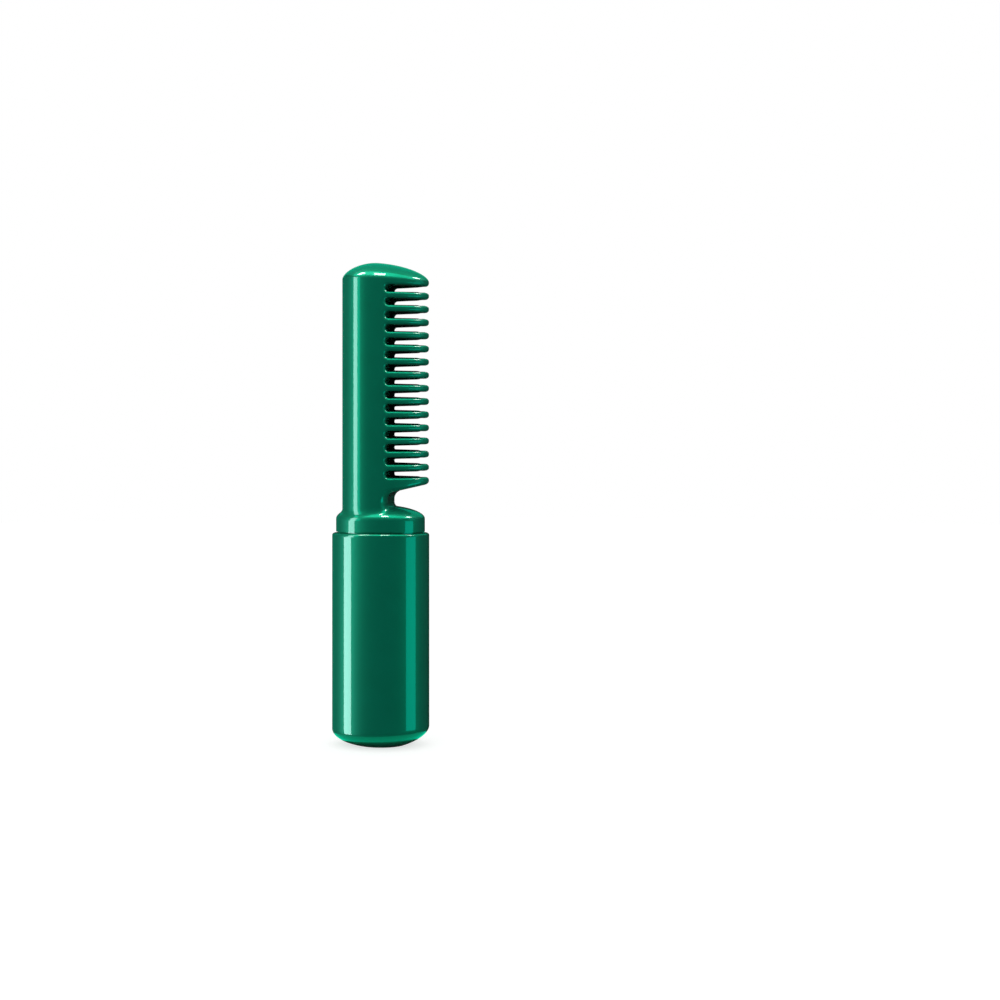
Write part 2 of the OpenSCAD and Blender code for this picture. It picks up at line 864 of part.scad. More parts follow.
module battery_leads() {
    plug_z = board_top_z - 3.4;
    bend_z = board_z + 3.7;
    tab_z = cell_top_z + tab_t;
    color("red") lead([
        [tab_lead_x, tab_lead_y, tab_z], [tab_lead_x, tab_lead_y, (tab_z + bend_z) / 2],
        [9.7, 2.2, bend_z], [9.2, 1.7, board_z + 6.7],
        [7.6, 0.8, board_z + 8.9], [4.8, 0.8, board_z + 9.9],
        [3.2, board_y - 1.5, plug_z - 1.5], [3.2, board_y - 1.5, plug_z]
    ], lead_d);
    color(dark) lead([
        [10.3, 1.8, cell_z], [10.3, 1.8, cell_z + 1.6], [11.4, 3, cell_z + 4.4],
        [duct_x, duct_y, cell_z + 9], [duct_x, duct_y, (cell_z + cell_top_z) / 2],
        [duct_x, duct_y, bulkhead_z - 2], [duct_x - 0.2, duct_y - 0.1, board_z + 4.6],
        [10.4, 2.6, board_z + 7.6], [7.2, 2.3, board_z + 9],
        [3.6, 2.4, board_z + 9.2], [1.7, board_y - 1.4, plug_z - 1.6], [1.7, board_y - 1.4, plug_z]
    ], lead_d);
}

module charge_leads() {
    for (s = [0, 1]) color(s == 0 ? "red" : dark) lead([
        [-8 - s, 4 + s * 1.2, charge_face_z], [-8 - s, 4 + s * 1.2, charge_face_z + 0.8],
        [1 + s * 0.2 - duct_x, 3.2 + s * 1.2, frame_z - 0.4],
        [-duct_x, 3 + s * 1.2, frame_z + 3],
        [-duct_x, 3 + s * 1.2, (cell_z + cell_top_z) / 2],
        [-duct_x, 3 + s * 1.2, bulkhead_z - 2],
        [0.4 - duct_x, 2.6 + s, board_z + 3 + s * 1.4],
        [-8.6, 1.4, board_z + 5.6 + s * 2],
        [-7.2, board_y - 1.4, board_z + 5.8 + s * 2], [-7.2, board_y, board_z + 5.8 + s * 2]
    ], thin_lead_d);
}

module heater_leads() {
    plug_z = board_top_z - 0.4;
    fuse_y = -plate_t / 2 - fuse_r;
    heat_x = heater_x + 1;
    heat_y = plate_t / 2 + heater_t / 2;
    color("#c23b2a") {
        lead([
            [-3.3, board_y - 1.4, plug_z], [-3.3, board_y - 1.4, plug_z + 2], [-3, 0.4, plug_z + 9],
            [-1.8, -2.6, collar_edge_z - 1], [fuse_x, fuse_y - 1, carrier_z - 0.6],
            [fuse_x, fuse_y, fuse_z - 0.8], [fuse_x, fuse_y, fuse_z]
        ], lead_d);
        lead([
            [fuse_x, fuse_y, fuse_z + fuse_l], [fuse_x, fuse_y, fuse_z + fuse_l + 1],
            [-2.8, -2.2, heater_z - 4.3], [heat_x + 0.4, -heat_y, heater_z - 3.2],
            [heat_x, -heat_y, heater_z - 1.6], [heat_x, -heat_y, heater_z]
        ], lead_d);
    }
    color("#e8e4d8") lead([
        [-1.6, board_y - 1.4, plug_z], [-1.6, board_y - 1.4, plug_z + 2], [-2.4, 2.8, plug_z + 9],
        [-3.6, 4, collar_edge_z], [-4.2, 4.4, tail_z - 1.4], [-4.4, 3.9, tail_z + 4],
        [heat_x + 0.1, 2.8, tail_z + 7.2], [heat_x, heat_y + 0.2, heater_z - 3],
        [heat_x, heat_y, heater_z - 1.4], [heat_x, heat_y, heater_z]
    ], lead_d);
}

module sensor_leads() {
    plug_z = board_top_z - 0.4;
    for (s = [0, 1]) color(s == 0 ? "white" : "#e0c020") lead([
        [1 + s * 1.4, board_y - 1.4, plug_z], [1 + s * 1.4, board_y - 1.4, plug_z + 2],
        [0.6 + s, 2.6, plug_z + 9],
        [s * 0.6 - 0.6, 3.6, collar_edge_z], [sensor_x - 0.5 + s, 4.2, tail_z - 1.4],
        [sensor_x - 0.5 + s, 4.6, sensor_z - 1.4], [sensor_x - 0.5 + s, sensor_y + 1, sensor_z],
        [sensor_x - 0.5 + s, sensor_y, sensor_z]
    ], thin_lead_d);
}

module shell_screws() {
    color(steel) for (s = [-1, 1]) {
        bar_y(s * boss_x, boss_z, head_r, head_seat_y, head_seat_y + head_t);
        bar_y(s * boss_x, boss_z, screw_r, -screw_len, head_seat_y);
    }
}

// Heating comb and its heaters

module heating_comb() {
    half_t = plate_t / 2;
    color(dark) difference() {
        union() {
            block(plate_edge_x, plate_tip_x, -half_t, half_t, plate_bottom_z, plate_top_z);
            block(plate_edge_x, tail_x, -half_t, half_t, tail_z, plate_bottom_z + eps);
        }
        for (i = [0:slot_count - 1])
            translate([0, 0, slot_z0 + i * tooth_pitch]) through_y()
                slot_outline(plate_root_x, gap_root_h, gap_tip_h, plate_tip_x, 0.5);
        for (z = clamp_hole_zs) bar_y(clamp_hole_x, z, screw_r + place_gap, -far, far);
        bar_y(carrier_screw_x, carrier_screw_z, screw_r + place_gap, -far, far);
    }
}

// Flat sheet against the heating comb's side, from depth y0 to y1 off its middle
module side_sheet(side, x0, x1, y0, y1, z0, z1) {
    block(x0, x1, side < 0 ? -y1 : y0, side < 0 ? -y0 : y1, z0, z1);
}

module heater_block(side) {
    y0 = plate_t / 2;
    side_sheet(side, heater_x, heater_x + heater_w, y0, y0 + heater_t, heater_z, heater_z + heater_l);
}

module heater_front() {
    color("#e9e6df") heater_block(-1);
}

module heater_rear() {
    color("#e9e6df") heater_block(1);
}

module heater_insulation() {
    y0 = plate_t / 2 + heater_t;
    color("#b08d57") for (side = [-1, 1])
        side_sheet(side, heater_x - mica_rim, heater_x + heater_w + mica_rim, y0, y0 + mica_t,
            heater_z - mica_end, heater_z + heater_l + mica_end);
}

module clamp_plate(side, hole_r) {
    difference() {
        side_sheet(side, heater_x - clamp_side, heater_x + heater_w + clamp_side,
            clamp_y, clamp_y + clamp_t, heater_z - clamp_rim, heater_z + heater_l + clamp_rim);
        for (z = clamp_hole_zs) bar_y(clamp_hole_x, z, hole_r, -far, far);
    }
}

module clamp_plate_front() {
    color(steel) clamp_plate(-1, screw_r);
}

module clamp_plate_rear() {
    color(steel) clamp_plate(1, screw_r + place_gap);
}

module clamp_spacers() {
    color("#c8b06a") for (z = clamp_hole_zs, s = [-1, 1]) difference() {
        bar_y(clamp_hole_x, z, spacer_r, s < 0 ? -clamp_y : plate_t / 2, s < 0 ? -plate_t / 2 : clamp_y);
        bar_y(clamp_hole_x, z, screw_r + place_gap, -far, far);
    }
}

module clamp_screws() {
    color(steel) for (z = clamp_hole_zs) {
        bar_y(clamp_hole_x, z, head_r, clamp_y + clamp_t, clamp_y + clamp_t + head_t);
        bar_y(clamp_hole_x, z, screw_r, -clamp_y - clamp_t, clamp_y + clamp_t);
    }
}

module heater_carrier() {
    half_t = plate_t / 2;
    floor_z = carrier_z - carrier_floor_t;
    color("#2b2b2b") difference() {
        union() {
            block(carrier_x, plate_edge_x + 1, -carrier_half_d, carrier_half_d, carrier_z, carrier_top_z);
            block(plate_edge_x + 0.5, plate_edge_x + 5, half_t, half_t + carrier_tongue_t,
                carrier_z, carrier_screw_z + 2.4);
            intersection() {
                prism(comb_oval(comb_wall + 0.2), floor_z, carrier_z);
                block(-far, neck_x - comb_wall - 0.2, -far, far, floor_z, carrier_z);
            }
        }
        block(plate_edge_x, far, -half_t, half_t, tail_z, far * 4);
        bar_y(carrier_screw_x, carrier_screw_z, screw_r, 0, far);
        for (s = [-1, 1])
            block(lead_window[0], lead_window[1],
                s < 0 ? -far : lead_window_y, s < 0 ? -lead_window_y : far,
                floor_z - eps, carrier_z + eps);
    }
}

module carrier_screw() {
    half_t = plate_t / 2;
    color(steel) {
        bar_y(carrier_screw_x, carrier_screw_z, head_r, -half_t - head_t, -half_t);
        bar_y(carrier_screw_x, carrier_screw_z, screw_r, -half_t, half_t + carrier_tongue_t);
    }
}

module thermal_fuse() {
    color("#c9c9c9") translate([fuse_x, -plate_t / 2 - fuse_r, fuse_z])
        cylinder(r = fuse_r, h = fuse_l, $fn = fine);
}

module temperature_sensor() {
    color("#20242a") bar_y(sensor_x, sensor_z, 1.3, plate_t / 2, sensor_y);
}

handle_front_shell();
handle_rear_shell();
comb_front_shell();
comb_rear_shell();
power_button();
button_bezel();
status_light_pipes();
usb_socket_shell();
usb_socket_tongue();
inner_frame();
battery_cell();
battery_top_tab();
battery_bottom_tab();
battery_pads();
control_board();
control_chip();
power_transistors();
lead_connector();
status_leds();
switch_body();
switch_plunger();
switch_snap_dome();
charge_board();
charge_chip();
charge_inductor();
charge_capacitors();
battery_leads();
charge_leads();
heater_leads();
sensor_leads();
board_screws();
charge_board_screws();
frame_screws();
shell_screws();
heating_comb();
heater_front();
heater_rear();
heater_insulation();
clamp_plate_front();
clamp_plate_rear();
clamp_spacers();
clamp_screws();
heater_carrier();
carrier_screw();
thermal_fuse();
temperature_sensor();
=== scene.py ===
"""The looks of a green cordless heated hair straightening comb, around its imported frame."""

import json
import math

import bmesh
import bpy
import numpy as np
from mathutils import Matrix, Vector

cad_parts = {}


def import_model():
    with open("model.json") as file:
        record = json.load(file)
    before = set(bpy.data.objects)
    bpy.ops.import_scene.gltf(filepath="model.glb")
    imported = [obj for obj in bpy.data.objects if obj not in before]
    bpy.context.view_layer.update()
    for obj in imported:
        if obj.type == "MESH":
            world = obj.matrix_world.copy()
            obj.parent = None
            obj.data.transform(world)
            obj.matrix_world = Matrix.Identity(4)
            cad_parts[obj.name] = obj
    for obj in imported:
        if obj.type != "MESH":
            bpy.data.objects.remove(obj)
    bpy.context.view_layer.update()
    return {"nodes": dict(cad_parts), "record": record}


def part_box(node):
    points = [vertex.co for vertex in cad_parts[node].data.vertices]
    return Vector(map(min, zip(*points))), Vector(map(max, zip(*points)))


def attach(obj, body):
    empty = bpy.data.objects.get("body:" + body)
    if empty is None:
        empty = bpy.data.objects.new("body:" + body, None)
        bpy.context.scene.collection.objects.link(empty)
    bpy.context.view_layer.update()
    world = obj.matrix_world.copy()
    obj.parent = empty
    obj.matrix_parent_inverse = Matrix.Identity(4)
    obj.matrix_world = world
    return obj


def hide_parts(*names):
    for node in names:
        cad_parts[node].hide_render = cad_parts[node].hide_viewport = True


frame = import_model()

# Shapes are in millimetres about the middle of the flat under the handle: x grows towards the teeth,
# y towards the back and z upwards. A and B are the half-axes of an oval in x and y
MM = 0.001
TINY = 1e-6


def box_mm(node):
    """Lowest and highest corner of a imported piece, in millimetres."""
    return [np.array(corner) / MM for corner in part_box(node)]


# Handle: its walls, its domed lower end with the flat, and its rim, in which the collar has its place
SHELL_LOW, SHELL_HIGH = box_mm("handle_front_shell")
HANDLE_A = SHELL_HIGH[0]
HANDLE_B = -SHELL_LOW[1]
RIM_Z = SHELL_HIGH[2]
WALL = 1.8
FLOOR_T = 2.0
BASE_DOME = 6.0
BASE_FLAT = 0.5
BASE_BULGE = 1.9
LEAN = 0.036
RIM_R = 0.8
RIM_TOP = RIM_Z - 0.35
RIM_DIP = 0.3
PLACE_GAP = 0.1
PLACE_CHAMFER = 0.2

# Collar: its dome, the groove that throws a shadow at its foot, the fillet under the neck, and the
# spigot that plugs it into the handle
COLLAR_A = HANDLE_A - 1.35
COLLAR_B = HANDLE_B - 1.3
COLLAR_Z = RIM_Z + 4.15
COLLAR_DOME = 5.0
COLLAR_PEAK_X = -1.7
COLLAR_WALL = 1.7
COLLAR_DROP = 0.45
COLLAR_LIP = 0.25
COLLAR_FOOT = 0.1
SHADOW_GROOVE = 0.5
SHADOW_DEPTH = 0.8
SHADOW_SLOPE = 0.05
FILLET_REACH = 0.8
FILLET_REACH_MORE = 1.0
FILLET_RISE = 0.8
FILLET_RISE_MORE = 1.1
SEAT_Z = RIM_Z - 1.2
SEAT_T = 0.6
SPIGOT_Z = RIM_Z - 8.2
SPIGOT_A = HANDLE_A - 2.1
SPIGOT_B = HANDLE_B - 2.1
SPIGOT_WALL = 2.0
SPIGOT_CHAMFER = 0.4

# Comb head: its section from the spine over the thickest place to the tips, the slots between its
# teeth, the domed end, and the neck with the notch under the lowest tooth, the spur
SPINE_X = -13.4
THICK_X = -2.4
TIP_X = 17.0
COMB_B = 9.8
WEDGE_M = 1.9
WEDGE_K = 1.5
COMB_WALL = 1.7
SLOTS = 15
PITCH = 4.56
SLOT_R = 1.25
SLOT_INNER_R = 1.08
SLOT_ROOT_X = 3.3
SLOT_Z0 = RIM_Z + 19.9
SLOT_TOP_Z = SLOT_Z0 + PITCH * (SLOTS - 1)
EDGE_Z = SLOT_TOP_Z + 3.2
END_DOME = 6.27
END_BULGE = 1.72
END_PEAK_X = -1.5
END_DROP = 0.4
TIP_R = 0.98
TIP_LONG = 1.7
TIP_SPARE = 0.02
EDGE_R = 0.9
EDGE_SHARE = 0.87
NOTCH_ROUND = 1.4
NECK_ROUND = 3.4
NECK_ROUND_DEEP = 4.2
NECK_ROUND_SHRINK = 0.45
NECK_SHRINK_LONG = 5.0
NECK_X = 3.7
NECK_R = 2.8
SPUR_SLOPE = 0.23
SPUR_X = 6.0
SPUR_Z = SLOT_Z0 - 6.0
SEAM = 0.09

# Space between the halves of the comb head for the heating comb and what heats it
PLATE_SPACE = 1.12
PLATE_END_X = 14.5
CAVITY_X = 2.8


def srgb(code):
    """Linear colour, with alpha, of an sRGB hex value."""
    parts = np.array([int(code[i:i + 2], 16) for i in (1, 3, 5)]) / 255
    linear = np.where(parts <= 0.04045, parts / 12.92, ((parts + 0.055) / 1.055) ** 2.4)
    return (*linear.tolist(), 1.0)


# Making pieces out of grids of points: places that lie within WELD metres become one, edges shorter
# than SLIVER go, and edges that turn by more than SHARP degrees stay sharp
WELD = 2e-6
SLIVER = 1e-7
SHARP = 40


def grid_faces(rows, cols, start=0):
    """Quads between neighbouring rows and columns of a grid of points."""
    r, c = np.meshgrid(np.arange(rows - 1), np.arange(cols - 1), indexing="ij")
    first = (start + r * cols + c).ravel()
    return np.stack([first, first + 1, first + cols + 1, first + cols], axis=1)


def point_grid(x, y, z):
    """Grid of points out of their coordinates, each repeated where it lacks rows or columns."""
    return np.stack(np.broadcast_arrays(x, y, z), axis=-1)


def quarter_turn(count):
    """Angles from 0 to a quarter turn in even steps."""
    return np.radians(np.linspace(0, 90, count))


def nearest(values, wanted):
    """Number of the value that lies nearest to the one that is wanted."""
    return int(np.argmin(np.abs(values - wanted)))


def piece(name, grids, material, slot, body="root", replaces=(), fill=None):
    """One closed mesh out of grids in millimetres: they are joined where their edges meet, flat
    openings are filled across the direction fill, and the faces are turned outwards."""
    points = []
    faces = []
    start = 0
    for grid in grids:
        rows, cols = grid.shape[:2]
        points.append(grid.reshape(-1, 3))
        faces.append(grid_faces(rows, cols, start))
        start += rows * cols
    mesh = bpy.data.meshes.new(name)
    mesh.from_pydata(np.concatenate(points) * MM, [], np.concatenate(faces))
    work = bmesh.new()
    work.from_mesh(mesh)
    bmesh.ops.remove_doubles(work, verts=work.verts, dist=WELD)
    if fill is not None:
        rim = [edge for edge in work.edges if edge.is_boundary]
        bmesh.ops.triangle_fill(work, edges=rim, use_beauty=True, use_dissolve=False, normal=fill)
    bmesh.ops.dissolve_degenerate(work, edges=work.edges, dist=SLIVER)
    bmesh.ops.recalc_face_normals(work, faces=work.faces)
    work.to_mesh(mesh)
    work.free()
    mesh.polygons.foreach_set("use_smooth", np.ones(len(mesh.polygons), dtype=bool))
    mesh.set_sharp_from_angle(angle=math.radians(SHARP))
    made = bpy.data.objects.new(name, mesh)
    bpy.context.scene.collection.objects.link(made)
    made.data.materials.append(material)
    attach(made, body)
    if replaces:
        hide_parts(*replaces)


def across(first, last, shares):
    """Rows of points at the given shares of the straight way from one row to another."""
    shares = np.asarray(shares)[:, None, None]
    return first[None] * (1 - shares) + last[None] * shares


def to_middle(edge, shares):
    """Rows of points at the given shares of the way from an edge straight back to the parting plane
    y = 0."""
    return across(edge, edge * np.array([1, 0, 1]), shares)


def mirrored(grids):
    """The same grids on the other side of the parting plane y = 0."""
    return [grid * np.array([1, -1, 1]) for grid in grids]


def ellipse_depth(x, a, b):
    """Half-depth of an ellipse with half-axes a and b."""
    return b * np.sqrt(np.clip(1 - (x / a) ** 2, 0, None))


def comb_depth(x, inset=0.0):
    """Half-depth of the comb's section: a quarter ellipse towards the spine, and towards the tips a
    wedge, depth = b (1 - s^1.9)^(1/1.5), where s runs from 0 at the thickest place to 1 at the tip."""
    spine, tip, b = SPINE_X + inset, TIP_X - inset, COMB_B - inset
    back = np.clip((THICK_X - x) / (THICK_X - spine), 0, 1)
    front = np.clip((x - THICK_X) / (tip - THICK_X), 0, 1)
    wedge = np.clip(1 - front ** WEDGE_M, 0, None) ** (1 / WEDGE_K)
    return b * np.where(x < THICK_X, np.sqrt(1 - back ** 2), wedge)


def circle_gap(x, root, r):
    """Half-height of a slot with a half-round closed end of radius r at x = root."""
    short = np.clip(root + r - x, 0, r)
    return np.where(x <= root, 0, np.sqrt(np.clip(r * r - short * short, 0, None)))


def tip_round(x):
    """How far the end of a tooth is rounded off at x, along a quarter of an ellipse."""
    short = np.clip((x - TIP_X + TIP_LONG) / TIP_LONG, 0, 1)
    return TIP_R * (1 - np.sqrt(1 - short ** 2))


def round_drop(distance, r, deep=None):
    """How far an edge rounded off by a quarter of an ellipse, r wide and as deep as it is wide or
    as given, has fallen at a distance from the edge."""
    near = np.clip(1 - distance / np.maximum(r, 1e-9), 0, 1)
    return (r if deep is None else deep) * (1 - np.sqrt(1 - near ** 2))


def notch_z(x, grow=0.0):
    """Height of the underside of the lowest tooth: an arc that leaves the neck upright, then a
    straight line that climbs to the tip. Grown by grow, for the inside of the wall."""
    lean = math.atan(SPUR_SLOPE)
    cx = NECK_X + NECK_R
    cz = SPUR_Z + SPUR_SLOPE * (cx - SPUR_X) - NECK_R / math.cos(lean)
    r = NECK_R + grow
    touch_x = cx - r * math.sin(lean)
    arc = cz + np.sqrt(np.clip(r * r - (x - cx) ** 2, 0, None))
    line = SPUR_Z + SPUR_SLOPE * (x - SPUR_X) + grow / math.cos(lean)
    return np.where(x < touch_x, np.where(x <= NECK_X - grow, cz, arc), line)


ARC_FOOT_Z = float(notch_z(np.array(NECK_X)))


# Comb shells: teeth, neck, collar and spigot in one closed mesh for each half

def comb_columns():
    """Places along the comb's outer section, in x, from the spine to the tips: close together where
    the neck's side and the slots' closed ends start, and at the tips."""
    spine = THICK_X + (SPINE_X - THICK_X) * np.cos(np.radians(np.linspace(4, 90, 20)))
    body = np.linspace(THICK_X, NECK_X - NECK_ROUND, 6)[1:-1]
    edge = NECK_X - NECK_ROUND * (1 - np.sin(quarter_turn(14)))
    edge = np.concatenate([edge[edge < SLOT_ROOT_X - 0.04], NECK_X - np.array([0.035, 0.008, 0])])
    root = SLOT_ROOT_X + SLOT_R * (1 - np.cos(np.radians([0, *np.linspace(12, 90, 9)])))
    tooth = np.linspace(SLOT_ROOT_X + SLOT_R, PLATE_END_X, 12)[1:]
    end = np.linspace(PLATE_END_X, TIP_X - TIP_LONG, 4)[1:]
    tip = TIP_X - TIP_LONG + TIP_LONG * np.sin(np.radians(np.linspace(10, 90, 9)))
    first = [SPINE_X + SEAM, SPINE_X + 0.001]
    rest = np.sort(np.concatenate([spine, body, edge, root, tooth, end, tip]))
    return np.concatenate([first, rest])


# Shares of the height of a tooth, close together at its edges, and of the depth of a wall
FIN_SHARES = np.array([0, 0.007, 0.026, 0.058, 0.102, 0.156, 0.218, 0.287, 0.36, 0.43])
FIN_SHARES = np.concatenate([FIN_SHARES, [0.5], 1 - FIN_SHARES[::-1]])
WALL_SHARES = np.array([0, 0.08, 0.25, 0.55, 1])


def outer_gap(x):
    """Half-height of a slot in the outer surface."""
    return circle_gap(x, SLOT_ROOT_X, SLOT_R) + tip_round(x)


def inner_gap(x):
    """Half-height of a slot at the heating comb, narrower because the teeth taper outwards."""
    return circle_gap(x, SLOT_ROOT_X, SLOT_INNER_R) + tip_round(x)


def edge_drop(x, z):
    """How far the rounded edges of the slots and of the neck pull the surface in at (x, z)."""
    number = np.clip(np.round((z - SLOT_Z0) / PITCH), 0, SLOTS - 1)
    dz = z - SLOT_Z0 - number * PITCH
    to_slot = np.hypot(np.clip(SLOT_ROOT_X + SLOT_R - x, 0, None), dz) - SLOT_R - tip_round(x)
    lean = math.atan(SPUR_SLOPE)
    cx = NECK_X + NECK_R
    to_line = (z - notch_z(x) - tip_round(x)) * math.cos(lean)
    to_arc = np.hypot(x - cx, z - ARC_FOOT_Z) - NECK_R
    to_notch = np.where(z <= ARC_FOOT_Z, NECK_X - x,
                        np.where(x < cx - NECK_R * math.sin(lean), to_arc, to_line))
    thick = EDGE_SHARE * np.minimum(comb_depth(x), PITCH / 2 - outer_gap(x) + TIP_SPARE)
    r = np.minimum(EDGE_R, thick)
    neck = np.clip((NECK_X + 2 * NECK_R - x) / (2 * NECK_R), 0, 1)
    climbed = np.clip((z - ARC_FOOT_Z + NECK_SHRINK_LONG / 2) / NECK_SHRINK_LONG, 0, 1)
    shrink = 1 - NECK_ROUND_SHRINK * climbed
    wide = NOTCH_ROUND * r * (1 - neck) + NECK_ROUND * neck * shrink
    deep = NOTCH_ROUND * r * (1 - neck) + NECK_ROUND_DEEP * neck * shrink
    return np.maximum(round_drop(to_slot, r), round_drop(to_notch, wide, deep))


def tooth_rows(low, high):
    """Heights of the rows across a tooth, between its lower and its upper edge."""
    return low[None] + FIN_SHARES[:, None] * (high - low)[None]


def bands(x, gap, foot, top):
    """Lower and upper edge of every band between the notch and the end dome, at each x."""
    z = SLOT_Z0 + PITCH * np.arange(SLOTS)
    lows = [foot] + [z_low + gap(x) for z_low in z]
    highs = [z_high - gap(x) for z_high in z] + [top]
    return list(zip(lows, highs))


def dome(rim, height, z):
    """Rings that close a rim into a dome: each shrinks by k about the peak while its height grows as
    (1 - k^1.72)^(1/1.72), and leans down towards the tips. The rim's own heights aren't used."""
    k = np.cos(quarter_turn(19))[:, None]
    x, y = rim[:, 0], rim[:, 1]
    rise = height * np.clip(1 - k ** END_BULGE, 0, None) ** (1 / END_BULGE)
    return point_grid(END_PEAK_X + (x - END_PEAK_X) * k, y * k, z + rise - LEAN * k * x)


def outer_surface():
    """Grids of the comb's outer surface from the notch up to the peak, and of the slots' walls."""
    x = comb_columns()
    depth = comb_depth(x)
    depth[:2] = [0, SEAM]
    foot = np.where(x <= NECK_X, ARC_FOOT_Z, notch_z(x) + tip_round(x))
    surface = []
    for low, high in bands(x, outer_gap, foot, EDGE_Z - LEAN * x):
        z = tooth_rows(low, high)
        surface.append(point_grid(x, -np.clip(depth - edge_drop(x, z), 0, None), z))
    open_x = x > SLOT_ROOT_X - TINY
    walls = []
    for number in range(SLOTS):
        middle = SLOT_Z0 + number * PITCH
        walls += slot_wall(surface[number][-1][open_x], middle, -1)
        walls += slot_wall(surface[number + 1][0][open_x], middle, 1)
    under = surface[0][0][x > NECK_X - TINY]
    walls.append(to_middle(under, WALL_SHARES))
    top = dome(surface[-1][-1], END_DOME, EDGE_Z)
    return surface + walls + [top], surface[0][0][x < NECK_X + TINY]


def slot_wall(edge, middle, side):
    """Wall of a slot from its rounded outer edge in to the heating comb, and past the end of that
    comb on to the parting plane."""
    x = edge[:, 0]
    meet = edge.copy()
    meet[:, 1] = -np.minimum(PLATE_SPACE, -edge[:, 1])
    meet[:, 2] = middle + side * inner_gap(x)
    last = x > PLATE_END_X - TINY
    return [across(edge, meet, WALL_SHARES), to_middle(meet[last], [0, 1])]


def inner_surface(count):
    """Grids of the comb's inner surface: the cavity with count columns over the neck, then the
    space for the heating comb, which ends PLATE_END_X from the middle."""
    flank_x = NECK_X - COMB_WALL
    neck = np.linspace(THICK_X, flank_x, 7)[1:]
    spine = THICK_X + (SPINE_X + COMB_WALL - THICK_X) * np.cos(quarter_turn(count - len(neck)))
    cavity = np.linspace(flank_x, CAVITY_X, 5)[1:]
    shared = comb_columns()
    shared = shared[(shared > SLOT_ROOT_X - TINY) & (shared < PLATE_END_X + TINY)]
    x = np.concatenate([spine, neck, cavity, [CAVITY_X], shared, [PLATE_END_X]])
    depth = comb_depth(x, COMB_WALL)
    depth[count + len(cavity):] = PLATE_SPACE
    depth[[0, -1]] = 0
    foot = notch_z(x, COMB_WALL)
    edge_z = EDGE_Z - END_DROP
    surface = [point_grid(x, -depth, tooth_rows(low, high))
               for low, high in bands(x, inner_gap, foot, edge_z - LEAN * x)]
    under = to_middle(surface[0][0][count - 1:], WALL_SHARES)
    top = dome(surface[-1][-1], END_DOME - COMB_WALL, edge_z)
    return surface + [under, top], surface[0][0][:count]


def collar_height(x, y, inset=0.0, drop=0.0):
    """Height of the collar's dome over (x, y): the dome is the collar's oval shrunk by k about its
    peak and raised by sqrt(1 - k^2), so 1/k is a root of a quadratic. The inner dome is set in from
    its sides and its top, and dropped."""
    a, b, cx = COLLAR_A - inset, COLLAR_B - inset, COLLAR_PEAK_X
    square = ((x - cx) / a) ** 2 + (y / b) ** 2
    slope = 2 * cx * (x - cx) / a ** 2
    rest = (cx / a) ** 2 - 1
    s = (-slope + np.sqrt(slope ** 2 - 4 * square * rest)) / (2 * square)
    k = np.clip(1 / s, 0, 1)
    return COLLAR_Z - drop + (COLLAR_DOME - inset) * np.sqrt(1 - k ** 2)


def rim_height(x):
    """Height of the handle's rim, which dips a little towards the two narrow sides."""
    return RIM_TOP - RIM_DIP * (x / HANDLE_A) ** 2


def oval_row(shares, a, b, z, seam=0.0):
    """Half an oval with half-axes a and b, from the spine side at share 0 to the teeth's at 1."""
    x = -a * np.cos(math.pi * shares)
    y = -b * np.sin(math.pi * shares)
    x[0] += seam
    x[-1] -= seam
    y[[0, -1]] = 0
    return point_grid(x, y, z)


def flank(edge):
    """The neck's section at the height of the notch: the rounded outline and then its flat side."""
    return np.concatenate([edge, to_middle(edge[-1:], WALL_SHARES)[1:, 0]])


def normals_of(row):
    """Outward directions, level, along a row of points that runs from the spine round the front."""
    step = np.gradient(row, axis=0)
    out = point_grid(step[:, 1], -step[:, 0], 0)
    out[[0, -1], 1] = 0
    return out / np.linalg.norm(out, axis=1, keepdims=True)


def with_z(row, z):
    """The same row of points at other heights."""
    return point_grid(row[:, 0], row[:, 1], z)


def collar_top(foot, rim, inset=0.0, drop=0.0):
    """Rows of the collar's dome from the neck's foot out to the rim, close together there."""
    spread = np.sin(quarter_turn(22))[1:, None, None]
    top = foot[None] * (1 - spread) + rim[None] * spread
    top[..., 2] = collar_height(top[..., 0], top[..., 1], inset, drop)
    top[-1, :, 2] = COLLAR_Z - drop
    return np.concatenate([foot[None], top])


